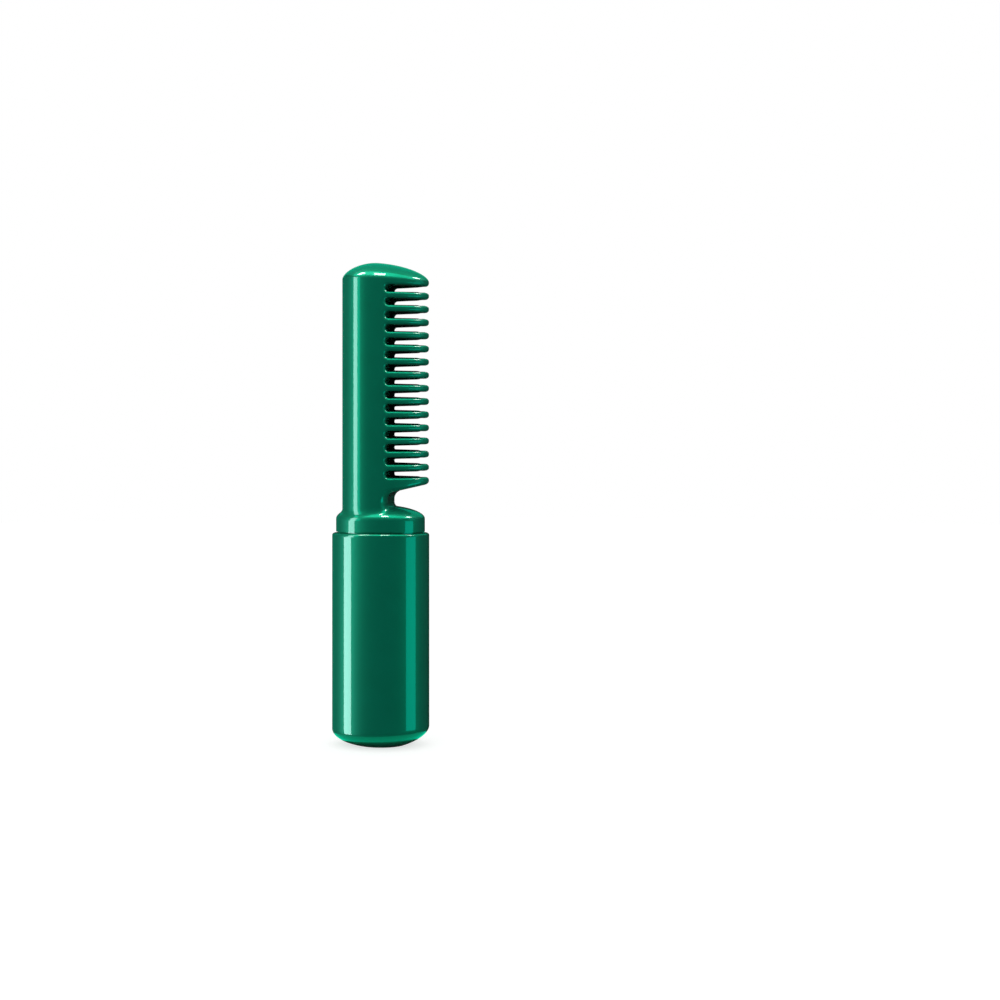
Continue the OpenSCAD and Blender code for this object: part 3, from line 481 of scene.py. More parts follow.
def collar_surface(neck, inner_neck):
    """Grids of the neck below the notch, the collar, the spigot and their inner walls. The fillet at
    the neck's foot reaches out further towards the teeth, and is lower at the spine."""
    out = normals_of(neck)
    reach = FILLET_REACH + FILLET_REACH_MORE * np.clip(out[:, :1], 0, 1) ** 2
    tall = FILLET_RISE + FILLET_RISE_MORE * np.clip(1 + out[:, 0], 0, 1)
    fillet = []
    for angle in quarter_turn(8):
        row = neck + out * reach * (1 - math.cos(angle))
        height = collar_height(row[:, 0], row[:, 1]) + tall * (1 - math.sin(angle))
        fillet.append(with_z(row, height))
    arc = np.concatenate([[0], np.cumsum(np.linalg.norm(np.diff(neck, axis=0), axis=1))])
    shares = arc / arc[-1]

    def inset_row(a, b, inset, z):
        """Half an oval set in from half-axes a and b."""
        return oval_row(shares, a - inset, b - inset, z)

    rim = oval_row(shares, COLLAR_A, COLLAR_B, 0, SEAM)
    top = collar_top(fillet[-1], rim)
    foot_z = rim_height(rim[:, 0]) + SHADOW_GROOVE
    steps = [
        with_z(rim, COLLAR_Z - COLLAR_LIP),
        with_z(rim, foot_z + COLLAR_FOOT),
        with_z(rim, foot_z),
        inset_row(COLLAR_A, COLLAR_B, SHADOW_DEPTH, foot_z - SHADOW_SLOPE),
        inset_row(COLLAR_A, COLLAR_B, SHADOW_DEPTH, SEAT_Z),
        inset_row(SPIGOT_A, SPIGOT_B, 0, SEAT_Z),
        inset_row(SPIGOT_A, SPIGOT_B, 0, SPIGOT_Z + SPIGOT_CHAMFER),
        inset_row(SPIGOT_A, SPIGOT_B, SPIGOT_CHAMFER, SPIGOT_Z),
        inset_row(SPIGOT_A, SPIGOT_B, SPIGOT_WALL, SPIGOT_Z),
        inset_row(SPIGOT_A, SPIGOT_B, SPIGOT_WALL, SEAT_Z + SEAT_T),
        inset_row(COLLAR_A, COLLAR_B, COLLAR_WALL, SEAT_Z + SEAT_T),
    ]
    inner_foot = with_z(inner_neck, collar_height(inner_neck[:, 0], inner_neck[:, 1], COLLAR_WALL,
                                                  COLLAR_DROP))
    inner_top = collar_top(inner_foot, inset_row(COLLAR_A, COLLAR_B, COLLAR_WALL, 0), COLLAR_WALL,
                           COLLAR_DROP)
    return [across(neck, fillet[0], [0, 0.5, 0.97, 1]), np.stack(fillet), top,
            np.stack([top[-1], *steps]), across(inner_neck, inner_foot, [0, 0.5, 1]), inner_top,
            np.stack([inner_top[-1], steps[-1]])]


def comb_half():
    """All grids of the front half of the comb, open only at the parting plane."""
    outer, neck_edge = outer_surface()
    inner, inner_edge = inner_surface(len(neck_edge))
    return outer + inner + collar_surface(flank(neck_edge), flank(inner_edge))


# Handle shells: a closed profile carried round half the oval, with windows in the rear one

SOCKET_W = 9.14
SOCKET_H = 3.46
SOCKET_CHAMFER = 0.2
SOCKET_CHAMFER_Z = 0.25
BUTTON_Z = 59.5
BUTTON_R = 4.0
BEZEL_R = 4.85
BEZEL_EDGE = 0.15
BEZEL_GAP = 0.03
BEZEL_STEP = 0.12
BOSS_R = 6.25
BOSS_FILLET = 0.1
DISH_DEPTH = 0.95
DISH_R = 30.0
DISH_SOFT = 0.02
HALVINGS = 30
BORE_END = HANDLE_B - 2.8
LIGHT_Z = 50.9
LIGHT_R = 0.85
LIGHT_CHAMFER = 0.08
LIGHT_XS = (-3.0, 0.0, 3.0)
LIGHT_SPACE = 1.2

# Windows in the rear wall, for the button and the lights: both sides in x, foot and top in z
BUTTON_WINDOW = (-7.0, 7.0, 51.85, 67.4)
LIGHT_WINDOWS = [(x - LIGHT_SPACE, x + LIGHT_SPACE, 49.9, BUTTON_WINDOW[2]) for x in LIGHT_XS]

# Share of the way round within which a column counts as there already
CROWDED = 0.003

# Heights of the plain wall's rows, below and above the windows
LOWER_ROWS = (BASE_DOME + 1, 16, 28, 40)
UPPER_ROWS = (RIM_Z - 4.5, RIM_TOP - RIM_DIP - RIM_R - 0.1)


def handle_shares():
    """Places round the handle's section, with a column at every window's side."""
    even = np.linspace(0, 1, 145)
    sides = np.array([w[i] for w in (BUTTON_WINDOW, *LIGHT_WINDOWS) for i in (0, 1)])
    inner = np.concatenate([np.linspace(x - LIGHT_SPACE, x + LIGHT_SPACE, 5) for x in LIGHT_XS])
    exact = np.arccos(-np.concatenate([sides, inner]) / HANDLE_A) / math.pi
    near = np.abs(even[:, None] - exact[None]).min(axis=1) < CROWDED
    seam = SEAM / HANDLE_B / math.pi
    return np.unique(np.round(np.concatenate([even[~near], exact, [seam, 1 - seam]]), 9))


def stadium_row(shares, w, h, z):
    """Half the outline of a stadium w wide and h deep, by its length from end to end."""
    r = h / 2
    straight = w - h
    length = math.pi * r + straight
    s = shares * length
    first = np.clip(s / r, 0, math.pi / 2)
    last = np.clip((s - math.pi * r / 2 - straight) / r, 0, math.pi / 2)
    along = np.clip(s - math.pi * r / 2, 0, straight)
    x = -straight / 2 - r * np.cos(first) + along + r * np.sin(last)
    y = -r * np.where(last > 0, np.cos(last), np.sin(first))
    y[[0, -1]] = 0
    return point_grid(x, y, z)


def base_rows(shares, inset, floor_z, seam):
    """Rows of the handle's lower end: k grows from the flat's share of the oval to 1 while the
    height follows (1 - k^1.9)^(1/1.9), and the edge leans like the other end of the comb."""
    full = (1 - BASE_FLAT ** BASE_BULGE) ** (1 / BASE_BULGE)
    rim = oval_row(shares, HANDLE_A - inset, HANDLE_B - inset, 0, seam)
    k = BASE_FLAT + (1 - BASE_FLAT) * np.sin(quarter_turn(17))[:, None]
    share = np.clip(1 - k ** BASE_BULGE, 0, None) ** (1 / BASE_BULGE) / full
    w = (k - BASE_FLAT) / (1 - BASE_FLAT)
    z = floor_z + (BASE_DOME - floor_z) * (1 - share) + LEAN * w * rim[:, 0]
    return point_grid(rim[:, 0] * k, rim[:, 1] * k, z)


def ring_perimeter(grid, r0, r1, c0, c1):
    """Points round a window of a grid, as a closed loop."""
    return np.concatenate([grid[r0, c0:c1], grid[r0:r1, c1], grid[r1, c1:c0:-1],
                           grid[r1:r0 - 1:-1, c0]])


def window(outer, inner, centre, rings):
    """Grid from the rim of a window in the outer wall to the one in the inner wall, through rings
    about the centre: each ring is a function of the angle and the rim's distance."""
    turn = np.arctan2(outer[:, 2] - centre[1], outer[:, 0] - centre[0])
    reach = np.hypot(outer[:, 2] - centre[1], outer[:, 0] - centre[0])
    rows = [outer]
    for ring in rings:
        radius, depth = ring(turn, reach)
        x = centre[0] + radius * np.cos(turn)
        z = centre[1] + radius * np.sin(turn)
        y = -depth(x, radius) if callable(depth) else -depth
        rows.append(point_grid(x, y, z))
    return np.stack(rows + [inner])


def wall_and_dish(x, radius):
    """Depths of the handle's oval at x, and of the shallow round dish at a radius."""
    dish = HANDLE_B - DISH_DEPTH + DISH_R - np.sqrt(DISH_R ** 2 - radius ** 2)
    return ellipse_depth(x, HANDLE_A, HANDLE_B), dish


def dished(x, radius):
    """Depth of the rear face: the lower of the handle's oval and the dish, with the edge between
    them softened."""
    wall, dish = wall_and_dish(x, radius)
    return (wall + dish - np.sqrt((wall - dish) ** 2 + DISH_SOFT ** 2)) / 2


def dish_edge(turn):
    """Distance from the button's middle to the dish's edge in each direction, by halving."""
    low = np.full_like(turn, BEZEL_R * 0.9)
    high = np.full_like(turn, BUTTON_WINDOW[3] - BUTTON_Z)
    for _ in range(HALVINGS):
        middle = (low + high) / 2
        wall, dish = wall_and_dish(middle * np.cos(turn), middle)
        inside = dish < wall
        low = np.where(inside, middle, low)
        high = np.where(inside, high, middle)
    return (low + high) / 2


def button_rings():
    """Rings from the wall into the dish, over the edge of the bezel's seat and through the boss."""
    def towards_edge(share):
        """Ring that has come that share of the way from the window's rim to the dish's edge."""
        return lambda turn, reach: (reach + (dish_edge(turn) - reach) * share, dished)

    def in_dish(share):
        """Ring that has come that share of the way from the dish's edge to the bezel's seat."""
        return lambda turn, reach: (
            dish_edge(turn) * (1 - share) + (BEZEL_R + BEZEL_EDGE) * share, dished)

    def fixed(radius, depth):
        """Round ring of that radius, at a depth that is a number or a function."""
        return lambda turn, reach: (radius + 0 * turn, depth)

    rings = [towards_edge(share) for share in (0.4, 0.75, 0.93, 1)]
    rings += [in_dish(share) for share in (0.07, 0.25, 0.6, 1)]
    rings += [
        fixed(BEZEL_R + BEZEL_GAP, lambda x, radius: dished(x, radius) - BEZEL_STEP),
        fixed(BEZEL_R + BEZEL_GAP, BORE_END),
        fixed(BOSS_R, BORE_END),
        fixed(BOSS_R + BOSS_FILLET,
              lambda x, radius: ellipse_depth(x, HANDLE_A - WALL, HANDLE_B - WALL)),
    ]
    return rings


def light_rings():
    """Rings of a light pipe's hole, from its chamfer through the wall."""
    def wall(radius, drop, inset):
        """Round ring as deep as the oval set in that far, less the drop."""
        return lambda turn, reach: (
            radius + 0 * turn,
            lambda x, _: ellipse_depth(x, HANDLE_A - inset, HANDLE_B - inset) - drop)

    return [wall(LIGHT_R + LIGHT_CHAMFER, 0, 0), wall(LIGHT_R, LIGHT_CHAMFER, 0),
            wall(LIGHT_R, 0, WALL)]


def handle_half(windows):
    """All grids of the front half of the handle, open only at the parting plane, and with the
    button's and the lights' windows where it is to be the rear half."""
    shares = handle_shares()

    def inset_row(inset, z, seam=0.0):
        """Half an oval set in from the handle's outside."""
        return oval_row(shares, HANDLE_A - inset, HANDLE_B - inset, z, seam)

    socket = [stadium_row(shares, SOCKET_W + 2 * SOCKET_CHAMFER, SOCKET_H + 2 * SOCKET_CHAMFER, 0),
              stadium_row(shares, SOCKET_W, SOCKET_H, SOCKET_CHAMFER_Z),
              stadium_row(shares, SOCKET_W, SOCKET_H, FLOOR_T)]
    base = base_rows(shares, 0, 0, SEAM)
    inner_base = base_rows(shares, WALL, FLOOR_T, 0)
    low, high = BUTTON_WINDOW[2:]
    heights = np.concatenate([LOWER_ROWS, np.linspace(LIGHT_WINDOWS[0][2], low, 5),
                              np.linspace(low, high, 17)[1:], UPPER_ROWS])
    wall = np.stack([inset_row(0, z, SEAM) for z in heights])
    inner_wall = np.stack([inset_row(WALL, z) for z in heights])
    x = -HANDLE_A * np.cos(math.pi * shares)
    top = rim_height(x)
    rim = [inset_row(RIM_R * (1 - math.cos(t)), top - RIM_R * (1 - math.sin(t)), SEAM)
           for t in quarter_turn(9)]
    place_a, place_b = COLLAR_A + PLACE_GAP, COLLAR_B + PLACE_GAP
    recess = [
        oval_row(shares, place_a + PLACE_CHAMFER, place_b + PLACE_CHAMFER, top),
        oval_row(shares, place_a, place_b, top - PLACE_CHAMFER),
        oval_row(shares, place_a, place_b, SEAT_Z),
        inset_row(WALL, SEAT_Z),
    ]
    grids = [np.concatenate([socket[:1], base, wall[:1]]),
             np.stack([wall[-1], *rim, *recess, inner_wall[-1]]),
             np.concatenate([inner_wall[:1], inner_base[::-1], socket[2:]]),
             np.stack(socket)]
    if not windows:
        return grids + [wall, inner_wall]
    for band in (wall, inner_wall):
        grids += panels(band, x, heights)
    places = [(BUTTON_WINDOW, BUTTON_Z, button_rings())]
    places += [(spot, LIGHT_Z, light_rings()) for spot in LIGHT_WINDOWS]
    for (x0, x1, z0, z1), middle, rings in places:
        sides = (nearest(heights, z0), nearest(heights, z1), nearest(x, x0), nearest(x, x1))
        outer = ring_perimeter(wall, *sides)
        inner = ring_perimeter(inner_wall, *sides)
        grids.append(window(outer, inner, ((x0 + x1) / 2, middle), rings))
    return grids


def panels(band, x, heights):
    """The parts of a wall beside, below and above its windows."""
    x0, x1, z0, z1 = BUTTON_WINDOW
    foot, low, high = (nearest(heights, z) for z in (LIGHT_WINDOWS[0][2], z0, z1))
    left, right = nearest(x, x0), nearest(x, x1)
    cuts = [0, *[nearest(x, side) for w in LIGHT_WINDOWS for side in w[:2]], len(x) - 1]
    made = [band[:foot + 1], band[high:], band[low:high + 1, :left + 1], band[low:high + 1, right:]]
    return made + [band[foot:low + 1, a:b + 1] for a, b in zip(cuts[::2], cuts[1::2])]


# Heating comb, button, bezel and charging socket

PLATE_LOW, PLATE_HIGH = box_mm("heating_comb")
PLATE_FOOT_Z = SLOT_Z0 - SLOT_R - 1
PLATE_ROOT_X = 4.6
PLATE_ROOT_R = 0.58
PLATE_MOUTH = 0.86
PLATE_TIP = 1.6
PLATE_TIP_DROP = 0.5
PLATE_EDGE_R = 0.3
TAIL_X = 0.6
TAIL_SHARES = np.array([0, 0.01, 0.03, 0.06, 0.5, 1])


def plate_gap(x):
    """Half-height of a gap in the heating comb: a round closed end, walls that part slowly, and
    tooth ends rounded off along a quarter ellipse."""
    end = PLATE_HIGH[0]
    along = np.clip((x - PLATE_ROOT_X) / (end - PLATE_ROOT_X), 0, 1)
    past = np.clip((x - end + PLATE_TIP) / PLATE_TIP, 0, 1)
    taper = (PLATE_MOUTH - PLATE_ROOT_R) * along + PLATE_TIP_DROP * (1 - np.sqrt(1 - past ** 2))
    return circle_gap(x, PLATE_ROOT_X, PLATE_ROOT_R) + taper


def plate_depth(x, z):
    """Half-thickness of the heating comb, rounded off along its outline."""
    number = np.clip(np.round((z - SLOT_Z0) / PITCH), 0, SLOTS - 1)
    dz = np.abs(z - SLOT_Z0 - number * PITCH)
    to_gap = np.where(x > PLATE_ROOT_X + PLATE_ROOT_R, dz - plate_gap(x),
                      np.hypot(PLATE_ROOT_X + PLATE_ROOT_R - x, dz) - PLATE_ROOT_R)
    to_foot = np.where(x > TAIL_X, z - PLATE_FOOT_Z, z - PLATE_LOW[2])
    near = np.minimum.reduce(np.broadcast_arrays(to_gap, x - PLATE_LOW[0], PLATE_HIGH[0] - x,
                                                 to_foot, PLATE_HIGH[2] - z))
    return PLATE_HIGH[1] - round_drop(np.clip(near, 0, None), PLATE_EDGE_R)


def heating_comb_half():
    """Front half of the heating comb, up to its middle plane: its face in bands between the gaps,
    the tail below them, and the walls along the outline."""
    low_x, end = PLATE_LOW[0], PLATE_HIGH[0]
    root = PLATE_ROOT_R * (1 - np.cos(quarter_turn(8)))
    x = np.concatenate([
        low_x + np.array([0, 0.04, 0.12, PLATE_EDGE_R]),
        np.linspace(low_x + PLATE_EDGE_R, TAIL_X, 6)[1:], [TAIL_X + PLATE_EDGE_R],
        np.linspace(TAIL_X + PLATE_EDGE_R, PLATE_ROOT_X, 5)[1:-1], PLATE_ROOT_X + root,
        np.linspace(PLATE_ROOT_X + PLATE_ROOT_R, end - PLATE_TIP, 10)[1:],
        end - PLATE_TIP + PLATE_TIP * np.sin(quarter_turn(9)[1:])])
    flat = 0 * x
    faces = []
    for low, high in bands(x, plate_gap, flat + PLATE_FOOT_Z, flat + PLATE_HIGH[2]):
        z = tooth_rows(low, high)
        faces.append(point_grid(x, -plate_depth(x, z), z))
    in_tail = x < TAIL_X + TINY
    tail_z = (PLATE_LOW[2] + (PLATE_FOOT_Z - PLATE_LOW[2]) * TAIL_SHARES)[:, None]
    tail = point_grid(x[in_tail], -plate_depth(x[in_tail], tail_z), tail_z)
    open_x = x > PLATE_ROOT_X - TINY
    outline = [tail[0], tail[:, 0], tail[:, -1], faces[0][0][~in_tail | (x > TAIL_X - TINY)],
               faces[-1][-1]]
    outline += [edge for face in faces for edge in (face[:, 0], face[:, -1])]
    outline += [face[-1][open_x] for face in faces[:-1]] + [face[0][open_x] for face in faces[1:]]
    return faces + [tail] + [to_middle(edge, [0, 1]) for edge in outline]


def turned(radius, depth, centre=(0.0, BUTTON_Z), turns=97):
    """A profile of radii and depths carried round an axis along Y through a centre (x, z)."""
    angle = np.radians(np.linspace(0, 360, turns))
    radius = np.asarray(radius, float)[:, None]
    depth = np.asarray(depth, float)[:, None]
    return point_grid(centre[0] + radius * np.cos(angle), depth, centre[1] + radius * np.sin(angle))


def button_cap():
    """Button with a flange that keeps it in, a rounded edge and a shallow dish for the finger:
    depth = top - dish (1 - (r / rim)^2)."""
    low, high = (corner[1] for corner in box_mm("power_button"))
    edge, dish = 0.4, 0.35
    foot_chamfer = 0.2
    flange_r = BEZEL_R - 0.15
    flange_low, flange_high = low + 0.1, low + 0.7
    rim = BUTTON_R - edge
    bend = quarter_turn(8)
    inner = np.linspace(rim, 0, 12)[1:]
    radius = [0, BUTTON_R - foot_chamfer, BUTTON_R, BUTTON_R, flange_r, flange_r, BUTTON_R,
              *(rim + edge * np.cos(bend)), *inner]
    depth = [low, low, flange_low, flange_low, flange_low, flange_high, flange_high,
             *(high - edge + edge * np.sin(bend)), *(high - dish * (1 - (inner / rim) ** 2))]
    return [turned(radius, depth)]


def bezel_ring():
    """Ring round the button with a rounded outer lip and a chamfer down to the button."""
    low, high = (corner[1] for corner in box_mm("button_bezel"))
    hole, lip = BUTTON_R + 0.08, 0.3
    chamfer, chamfer_depth = 0.2, 0.22
    bend = quarter_turn(7)
    radius = [hole, BEZEL_R, *(BEZEL_R - lip + lip * np.cos(bend)), hole + chamfer, hole, hole]
    depth = [low, low, *(high - lip + lip * np.sin(bend)), high, high - chamfer_depth, low]
    return [turned(radius, depth)]


def light_pipes():
    """Three pins with domed ends, and the bar behind the wall that joins them."""
    low, high = box_mm("status_light_pipes")
    r, cap = LIGHT_R - 0.05, 0.25
    sunk, crown = 0.05, 0.03
    bar_back, bar_front, bar_round = high[1] - 4.9, high[1] - 3.9, 0.2
    bend = quarter_turn(6)
    made = [rounded_block((low[0], bar_back, low[2]), (high[0], bar_front, high[2]), bar_round)]
    for x in LIGHT_XS:
        end = float(ellipse_depth(np.array(x), HANDLE_A, HANDLE_B)) - sunk
        radius = [0, r, *(r - cap + cap * np.cos(bend)), 0]
        depth = [low[1], low[1], *(end - cap + cap * np.sin(bend)), end + crown]
        made.append(turned(radius, depth, (x, LIGHT_Z), 33))
    return made


def socket_shell_half():
    """Front half of the socket's steel shell: a stadium of sheet with a rolled lip at its mouth and
    a closed back."""
    low, high = box_mm("usb_socket_shell")
    w, h = (high - low)[:2]
    z0, z1 = low[2], high[2]
    sheet = 0.25
    shares = np.linspace(0, 1, 61)
    bend = np.radians(np.linspace(0, 180, 9))
    lip = [stadium_row(shares, w - sheet * (1 - math.cos(t)), h - sheet * (1 - math.cos(t)),
                       z0 + sheet / 2 * (1 - math.sin(t))) for t in bend]
    outer = stadium_row(shares, w, h, z1)
    inner = stadium_row(shares, w - 2 * sheet, h - 2 * sheet, z1 - sheet)
    centre = np.array([0, 0, 1])
    return [np.stack([outer * centre, outer, *lip, inner, inner * centre])]


def rounded_block(low, high, r, count=4):
    """Box with rounded edges: rounded rectangles stacked up Z, drawn in over its two ends."""
    low, high = np.asarray(low, float), np.asarray(high, float)
    middle, half = (low + high) / 2, (high - low) / 2
    bend = quarter_turn(count)
    corner = (np.arange(4)[:, None] * math.pi / 2 + bend).ravel()
    sign = np.array([[1, 1], [-1, 1], [-1, -1], [1, -1]]).repeat(count, axis=0)
    around = np.stack([np.cos(corner), np.sin(corner)], axis=-1)
    rings = [(0, low[2])]
    rings += [(r * math.sin(t), low[2] + r * (1 - math.cos(t))) for t in bend]
    rings += [(r * math.cos(t), high[2] - r * (1 - math.sin(t))) for t in bend]
    rings.append((0, high[2]))
    rows = []
    for number, (reach, z) in enumerate(rings):
        flat = 0 if number in (0, len(rings) - 1) else 1
        xy = middle[:2] + flat * (sign * (half[:2] - r) + around * reach)
        rows.append(np.column_stack([xy, np.full(len(xy), z)]))
    grid = np.stack(rows)
    return np.concatenate([grid, grid[:, :1]], axis=1)


TONGUE_W = 6.7
TONGUE_T = 0.7
TONGUE_R = 0.3
TONGUE_ROOT = 0.1
BLOCK_W = 6.2
BLOCK_T = 1.2
BLOCK_R = 0.15
CONTACTS = 12
CONTACT_PITCH = 0.5
CONTACT_W = 0.25
CONTACT_T = 0.08
CONTACT_LONG = 3.6
CONTACT_START = 0.5
CONTACT_SUNK = 0.01
CONTACT_R = 0.03


def block_about(middle, size, z0, z1, r, count=4):
    """Rounded block from z0 to z1, of that size in x and y about a middle (x, y)."""
    middle, half = np.array(middle), np.array(size) / 2
    return rounded_block((*(middle - half), z0), (*(middle + half), z1), r, count)


def socket_tongue():
    """Tongue of the socket and the block that it stands on."""
    low, high = box_mm("usb_socket_tongue")
    z0, z1 = low[2], high[2]
    block_z = z1 - BLOCK_T
    return [block_about((0, 0), (TONGUE_W, TONGUE_T), z0, block_z + TONGUE_ROOT, TONGUE_R),
            block_about((0, 0), (BLOCK_W, 2 * high[1]), block_z, z1, BLOCK_R)]


def socket_contacts():
    """Rows of contacts on both sides of the tongue."""
    z = box_mm("usb_socket_tongue")[0][2] + CONTACT_START
    made = []
    for number in range(CONTACTS):
        x = (number - (CONTACTS - 1) / 2) * CONTACT_PITCH
        for side in (-1, 1):
            y = side * (TONGUE_T / 2 - CONTACT_SUNK)
            made.append(block_about((x, y), (CONTACT_W, CONTACT_T), z, z + CONTACT_LONG,
                                    CONTACT_R, 2))
    return made


# Finishes

def add(tree, kind, props=None, values=None, links=None):
    """Adds a node to a tree, with its settings, its input values and the sockets that feed its
    inputs, which go by name or number."""
    node = tree.nodes.new(kind)
    for name, value in (props or {}).items():
        setattr(node, name, value)
    for name, value in (values or {}).items():
        node.inputs[name].default_value = value
    for name, socket in (links or {}).items():
        tree.links.new(socket, node.inputs[name])
    return node


def shader(name, **values):
    """A new material, with the inputs of its Principled shader set by name, spaces as underscores."""
    material = bpy.data.materials.new(name)
    material.use_nodes = True
    for key, value in values.items():
        material.node_tree.nodes["Principled BSDF"].inputs[key.replace("_", " ")].default_value = value
    return material


def pattern(material, kind, size, stretch, **values):
    """A pattern with patches of that size in metres, drawn out along the axes that stretch makes
    small. It lies on the piece's Object coordinates."""
    tree = material.node_tree
    place = add(tree, "ShaderNodeTexCoord").outputs["Object"]
    drawn = add(tree, "ShaderNodeMapping", values={"Scale": stretch}, links={"Vector": place})
    return add(tree, kind, values={"Scale": 1 / size, **values},
               links={"Vector": drawn.outputs["Vector"]}).outputs


def connect(material, socket, name):
    """Lets a socket of a material's nodes drive an input of its Principled shader."""
    tree = material.node_tree
    tree.links.new(socket, tree.nodes["Principled BSDF"].inputs[name])


def mottle(material, dark, light, size, stretch=(1, 1, 1)):
    """Colours the surface between two near colours by noise with patches of that size. The colours
    are inputs 6 and 7 of a Mix node and its result is output 2."""
    noise = pattern(material, "ShaderNodeTexNoise", size, stretch, Detail=3.0)
    mix = add(material.node_tree, "ShaderNodeMix", {"data_type": "RGBA"},
              {6: srgb(dark), 7: srgb(light)}, {"Factor": noise["Fac"]})
    connect(material, mix.outputs[2], "Base Color")


def grain(material, size, depth, stretch=(1, 1, 1), cells=False):
    """Relief of that depth in metres out of noise, or of round cells, of that size."""
    if cells:
        height = pattern(material, "ShaderNodeTexVoronoi", size, stretch)["Distance"]
    else:
        height = pattern(material, "ShaderNodeTexNoise", size, stretch)["Fac"]
    bump = add(material.node_tree, "ShaderNodeBump", values={"Distance": depth},
               links={"Height": height})
    connect(material, bump.outputs["Normal"], "Normal")


def worn_gloss(material, low, high, size, stretch=(1, 1, 1)):
    """Roughness that wanders between two values over patches of that size."""
    noise = pattern(material, "ShaderNodeTexNoise", size, stretch, Detail=2.0)
    span = add(material.node_tree, "ShaderNodeMapRange", values={"To Min": low, "To Max": high},
               links={"Value": noise["Fac"]})
    connect(material, span.outputs["Result"], "Roughness")


def lacquered_abs(name="lacquered_abs", dark="#03604a", light="#046953"):
    """Green ABS from a polished mould under a clear lacquer: deep green that glows softly round a
    lamp's reflection, with the lamp itself mirrored sharply on top."""
    material = shader(name, Roughness=0.42, IOR=1.49, Specular_IOR_Level=0.8,
                      Specular_Tint=srgb("#10ffcc"), Coat_Weight=1.0, Coat_Roughness=0.02,
                      Coat_IOR=1.5)
    mottle(material, dark, light, 0.009)
    return material


def frosted_polycarbonate():
    """Light pipes of moulded polycarbonate: milky, with a soft glow and no sharp view through."""
    material = shader("frosted_polycarbonate", Roughness=0.35, IOR=1.585, Transmission_Weight=0.5)
    mottle(material, "#d5dedb", "#e6eeeb", 0.0004)
    return material


def nickelled_steel():
    """Stamped sheet steel with bright nickel on it: cool mirror with faint rolling lines along Z."""
    material = shader("nickelled_steel", Metallic=1.0)
    mottle(material, "#b4b6ba", "#cdced0", 0.0006, (1, 1, 0.05))
    worn_gloss(material, 0.16, 0.32, 0.0008, (1, 1, 0.05))
    return material


def rolled_nickel():
    """Pure nickel strip as rolled: a warmer, duller metal with lines along its length."""
    material = shader("rolled_nickel", Metallic=1.0)
    mottle(material, "#a8a294", "#c6c0b0", 0.0003, (1, 0.1, 0.1))
    worn_gloss(material, 0.28, 0.42, 0.0005, (1, 0.1, 0.1))
    return material


def zinc_plated_steel():
    """Screws with blue-white zinc on them: satin metal with cloudy patches."""
    material = shader("zinc_plated_steel", Metallic=1.0)
    mottle(material, "#a3a9b3", "#c4c6c6", 0.0005)
    worn_gloss(material, 0.25, 0.45, 0.0003)
    return material


def textured_nylon(name="black_textured_nylon", dark="#17181a", light="#222326"):
    """Glass-filled nylon from an eroded mould: matt, with a fine pebbled relief that is drawn at
    0.25 mm, coarser than the real 0.05 mm, so that it shows."""
    material = shader(name, Roughness=0.62, IOR=1.53)
    mottle(material, dark, light, 0.002)
    grain(material, 0.00025, 0.00001, cells=True)
    return material


def shrink_film():
    """PVC film shrunk over the cell: smooth blue with slow waves round the can."""
    material = shader("shrink_film", Roughness=0.3, IOR=1.53)
    mottle(material, "#1c5f9c", "#2672b4", 0.004)
    grain(material, 0.003, 0.00003, (1, 1, 0.3))
    return material


def eva_foam():
    """Closed-cell EVA foam: soft black, pitted by cells of half a millimetre."""
    material = shader("eva_foam", Roughness=0.9, IOR=1.49)
    mottle(material, "#151515", "#242424", 0.0008)
    grain(material, 0.0005, 0.00008, cells=True)
    return material


def solder_mask():
    """Green solder mask over woven glass laminate: glossy, with the weave's bumps, 0.5 mm apart,
    just showing through."""
    material = shader("solder_mask", Roughness=0.28, IOR=1.55)
    mottle(material, "#0b4f2d", "#11653a", 0.0005)
    grain(material, 0.0005, 0.000008, cells=True)
    return material


def moulding_resin():
    """Epoxy moulding compound of the chips: dark grey and satin with a fine sandy grain."""
    material = shader("moulding_resin", Roughness=0.5, IOR=1.55)
    mottle(material, "#16171a", "#26272b", 0.0003)
    grain(material, 0.0002, 0.000006)
    return material


def silicone_insulation():
    """Extruded silicone round the leads: red and dull, with a faint bloom of talc."""
    material = shader("silicone_insulation", IOR=1.41)
    mottle(material, "#8f1f17", "#ad2c20", 0.001)
    worn_gloss(material, 0.45, 0.7, 0.0008)
    return material


def non_stick_coating():
    """Sprayed black non-stick coating on the aluminium comb: near black, with the slight orange
    peel of a sprayed film."""
    material = shader("non_stick_coating", Roughness=0.4, IOR=1.38)
    mottle(material, "#070808", "#101112", 0.0006)
    grain(material, 0.0004, 0.000006)
    return material


def fired_alumina():
    """Unglazed alumina of the heaters: warm white, dry and finely granular."""
    material = shader("fired_alumina", Roughness=0.7, IOR=1.76)
    mottle(material, "#ddd8cb", "#efebe1", 0.0012)
    grain(material, 0.00015, 0.000008)
    return material


def split_mica():
    """Mica sheet split from the block: amber brown flakes with a glassy skin."""
    material = shader("split_mica", Roughness=0.22, IOR=1.58)
    mottle(material, "#8a7344", "#b79a62", 0.003, (1, 1, 0.6))
    grain(material, 0.002, 0.00001, cells=True)
    return material


def turned_brass():
    """Brass spacers off the lathe: yellow metal with fine rings across their axis."""
    material = shader("turned_brass", Metallic=1.0, Roughness=0.25)
    mottle(material, "#c09a4e", "#d3b06a", 0.0004, (0.1, 1, 0.1))
    grain(material, 0.0002, 0.000004, (0.1, 1, 0.1))
    return material


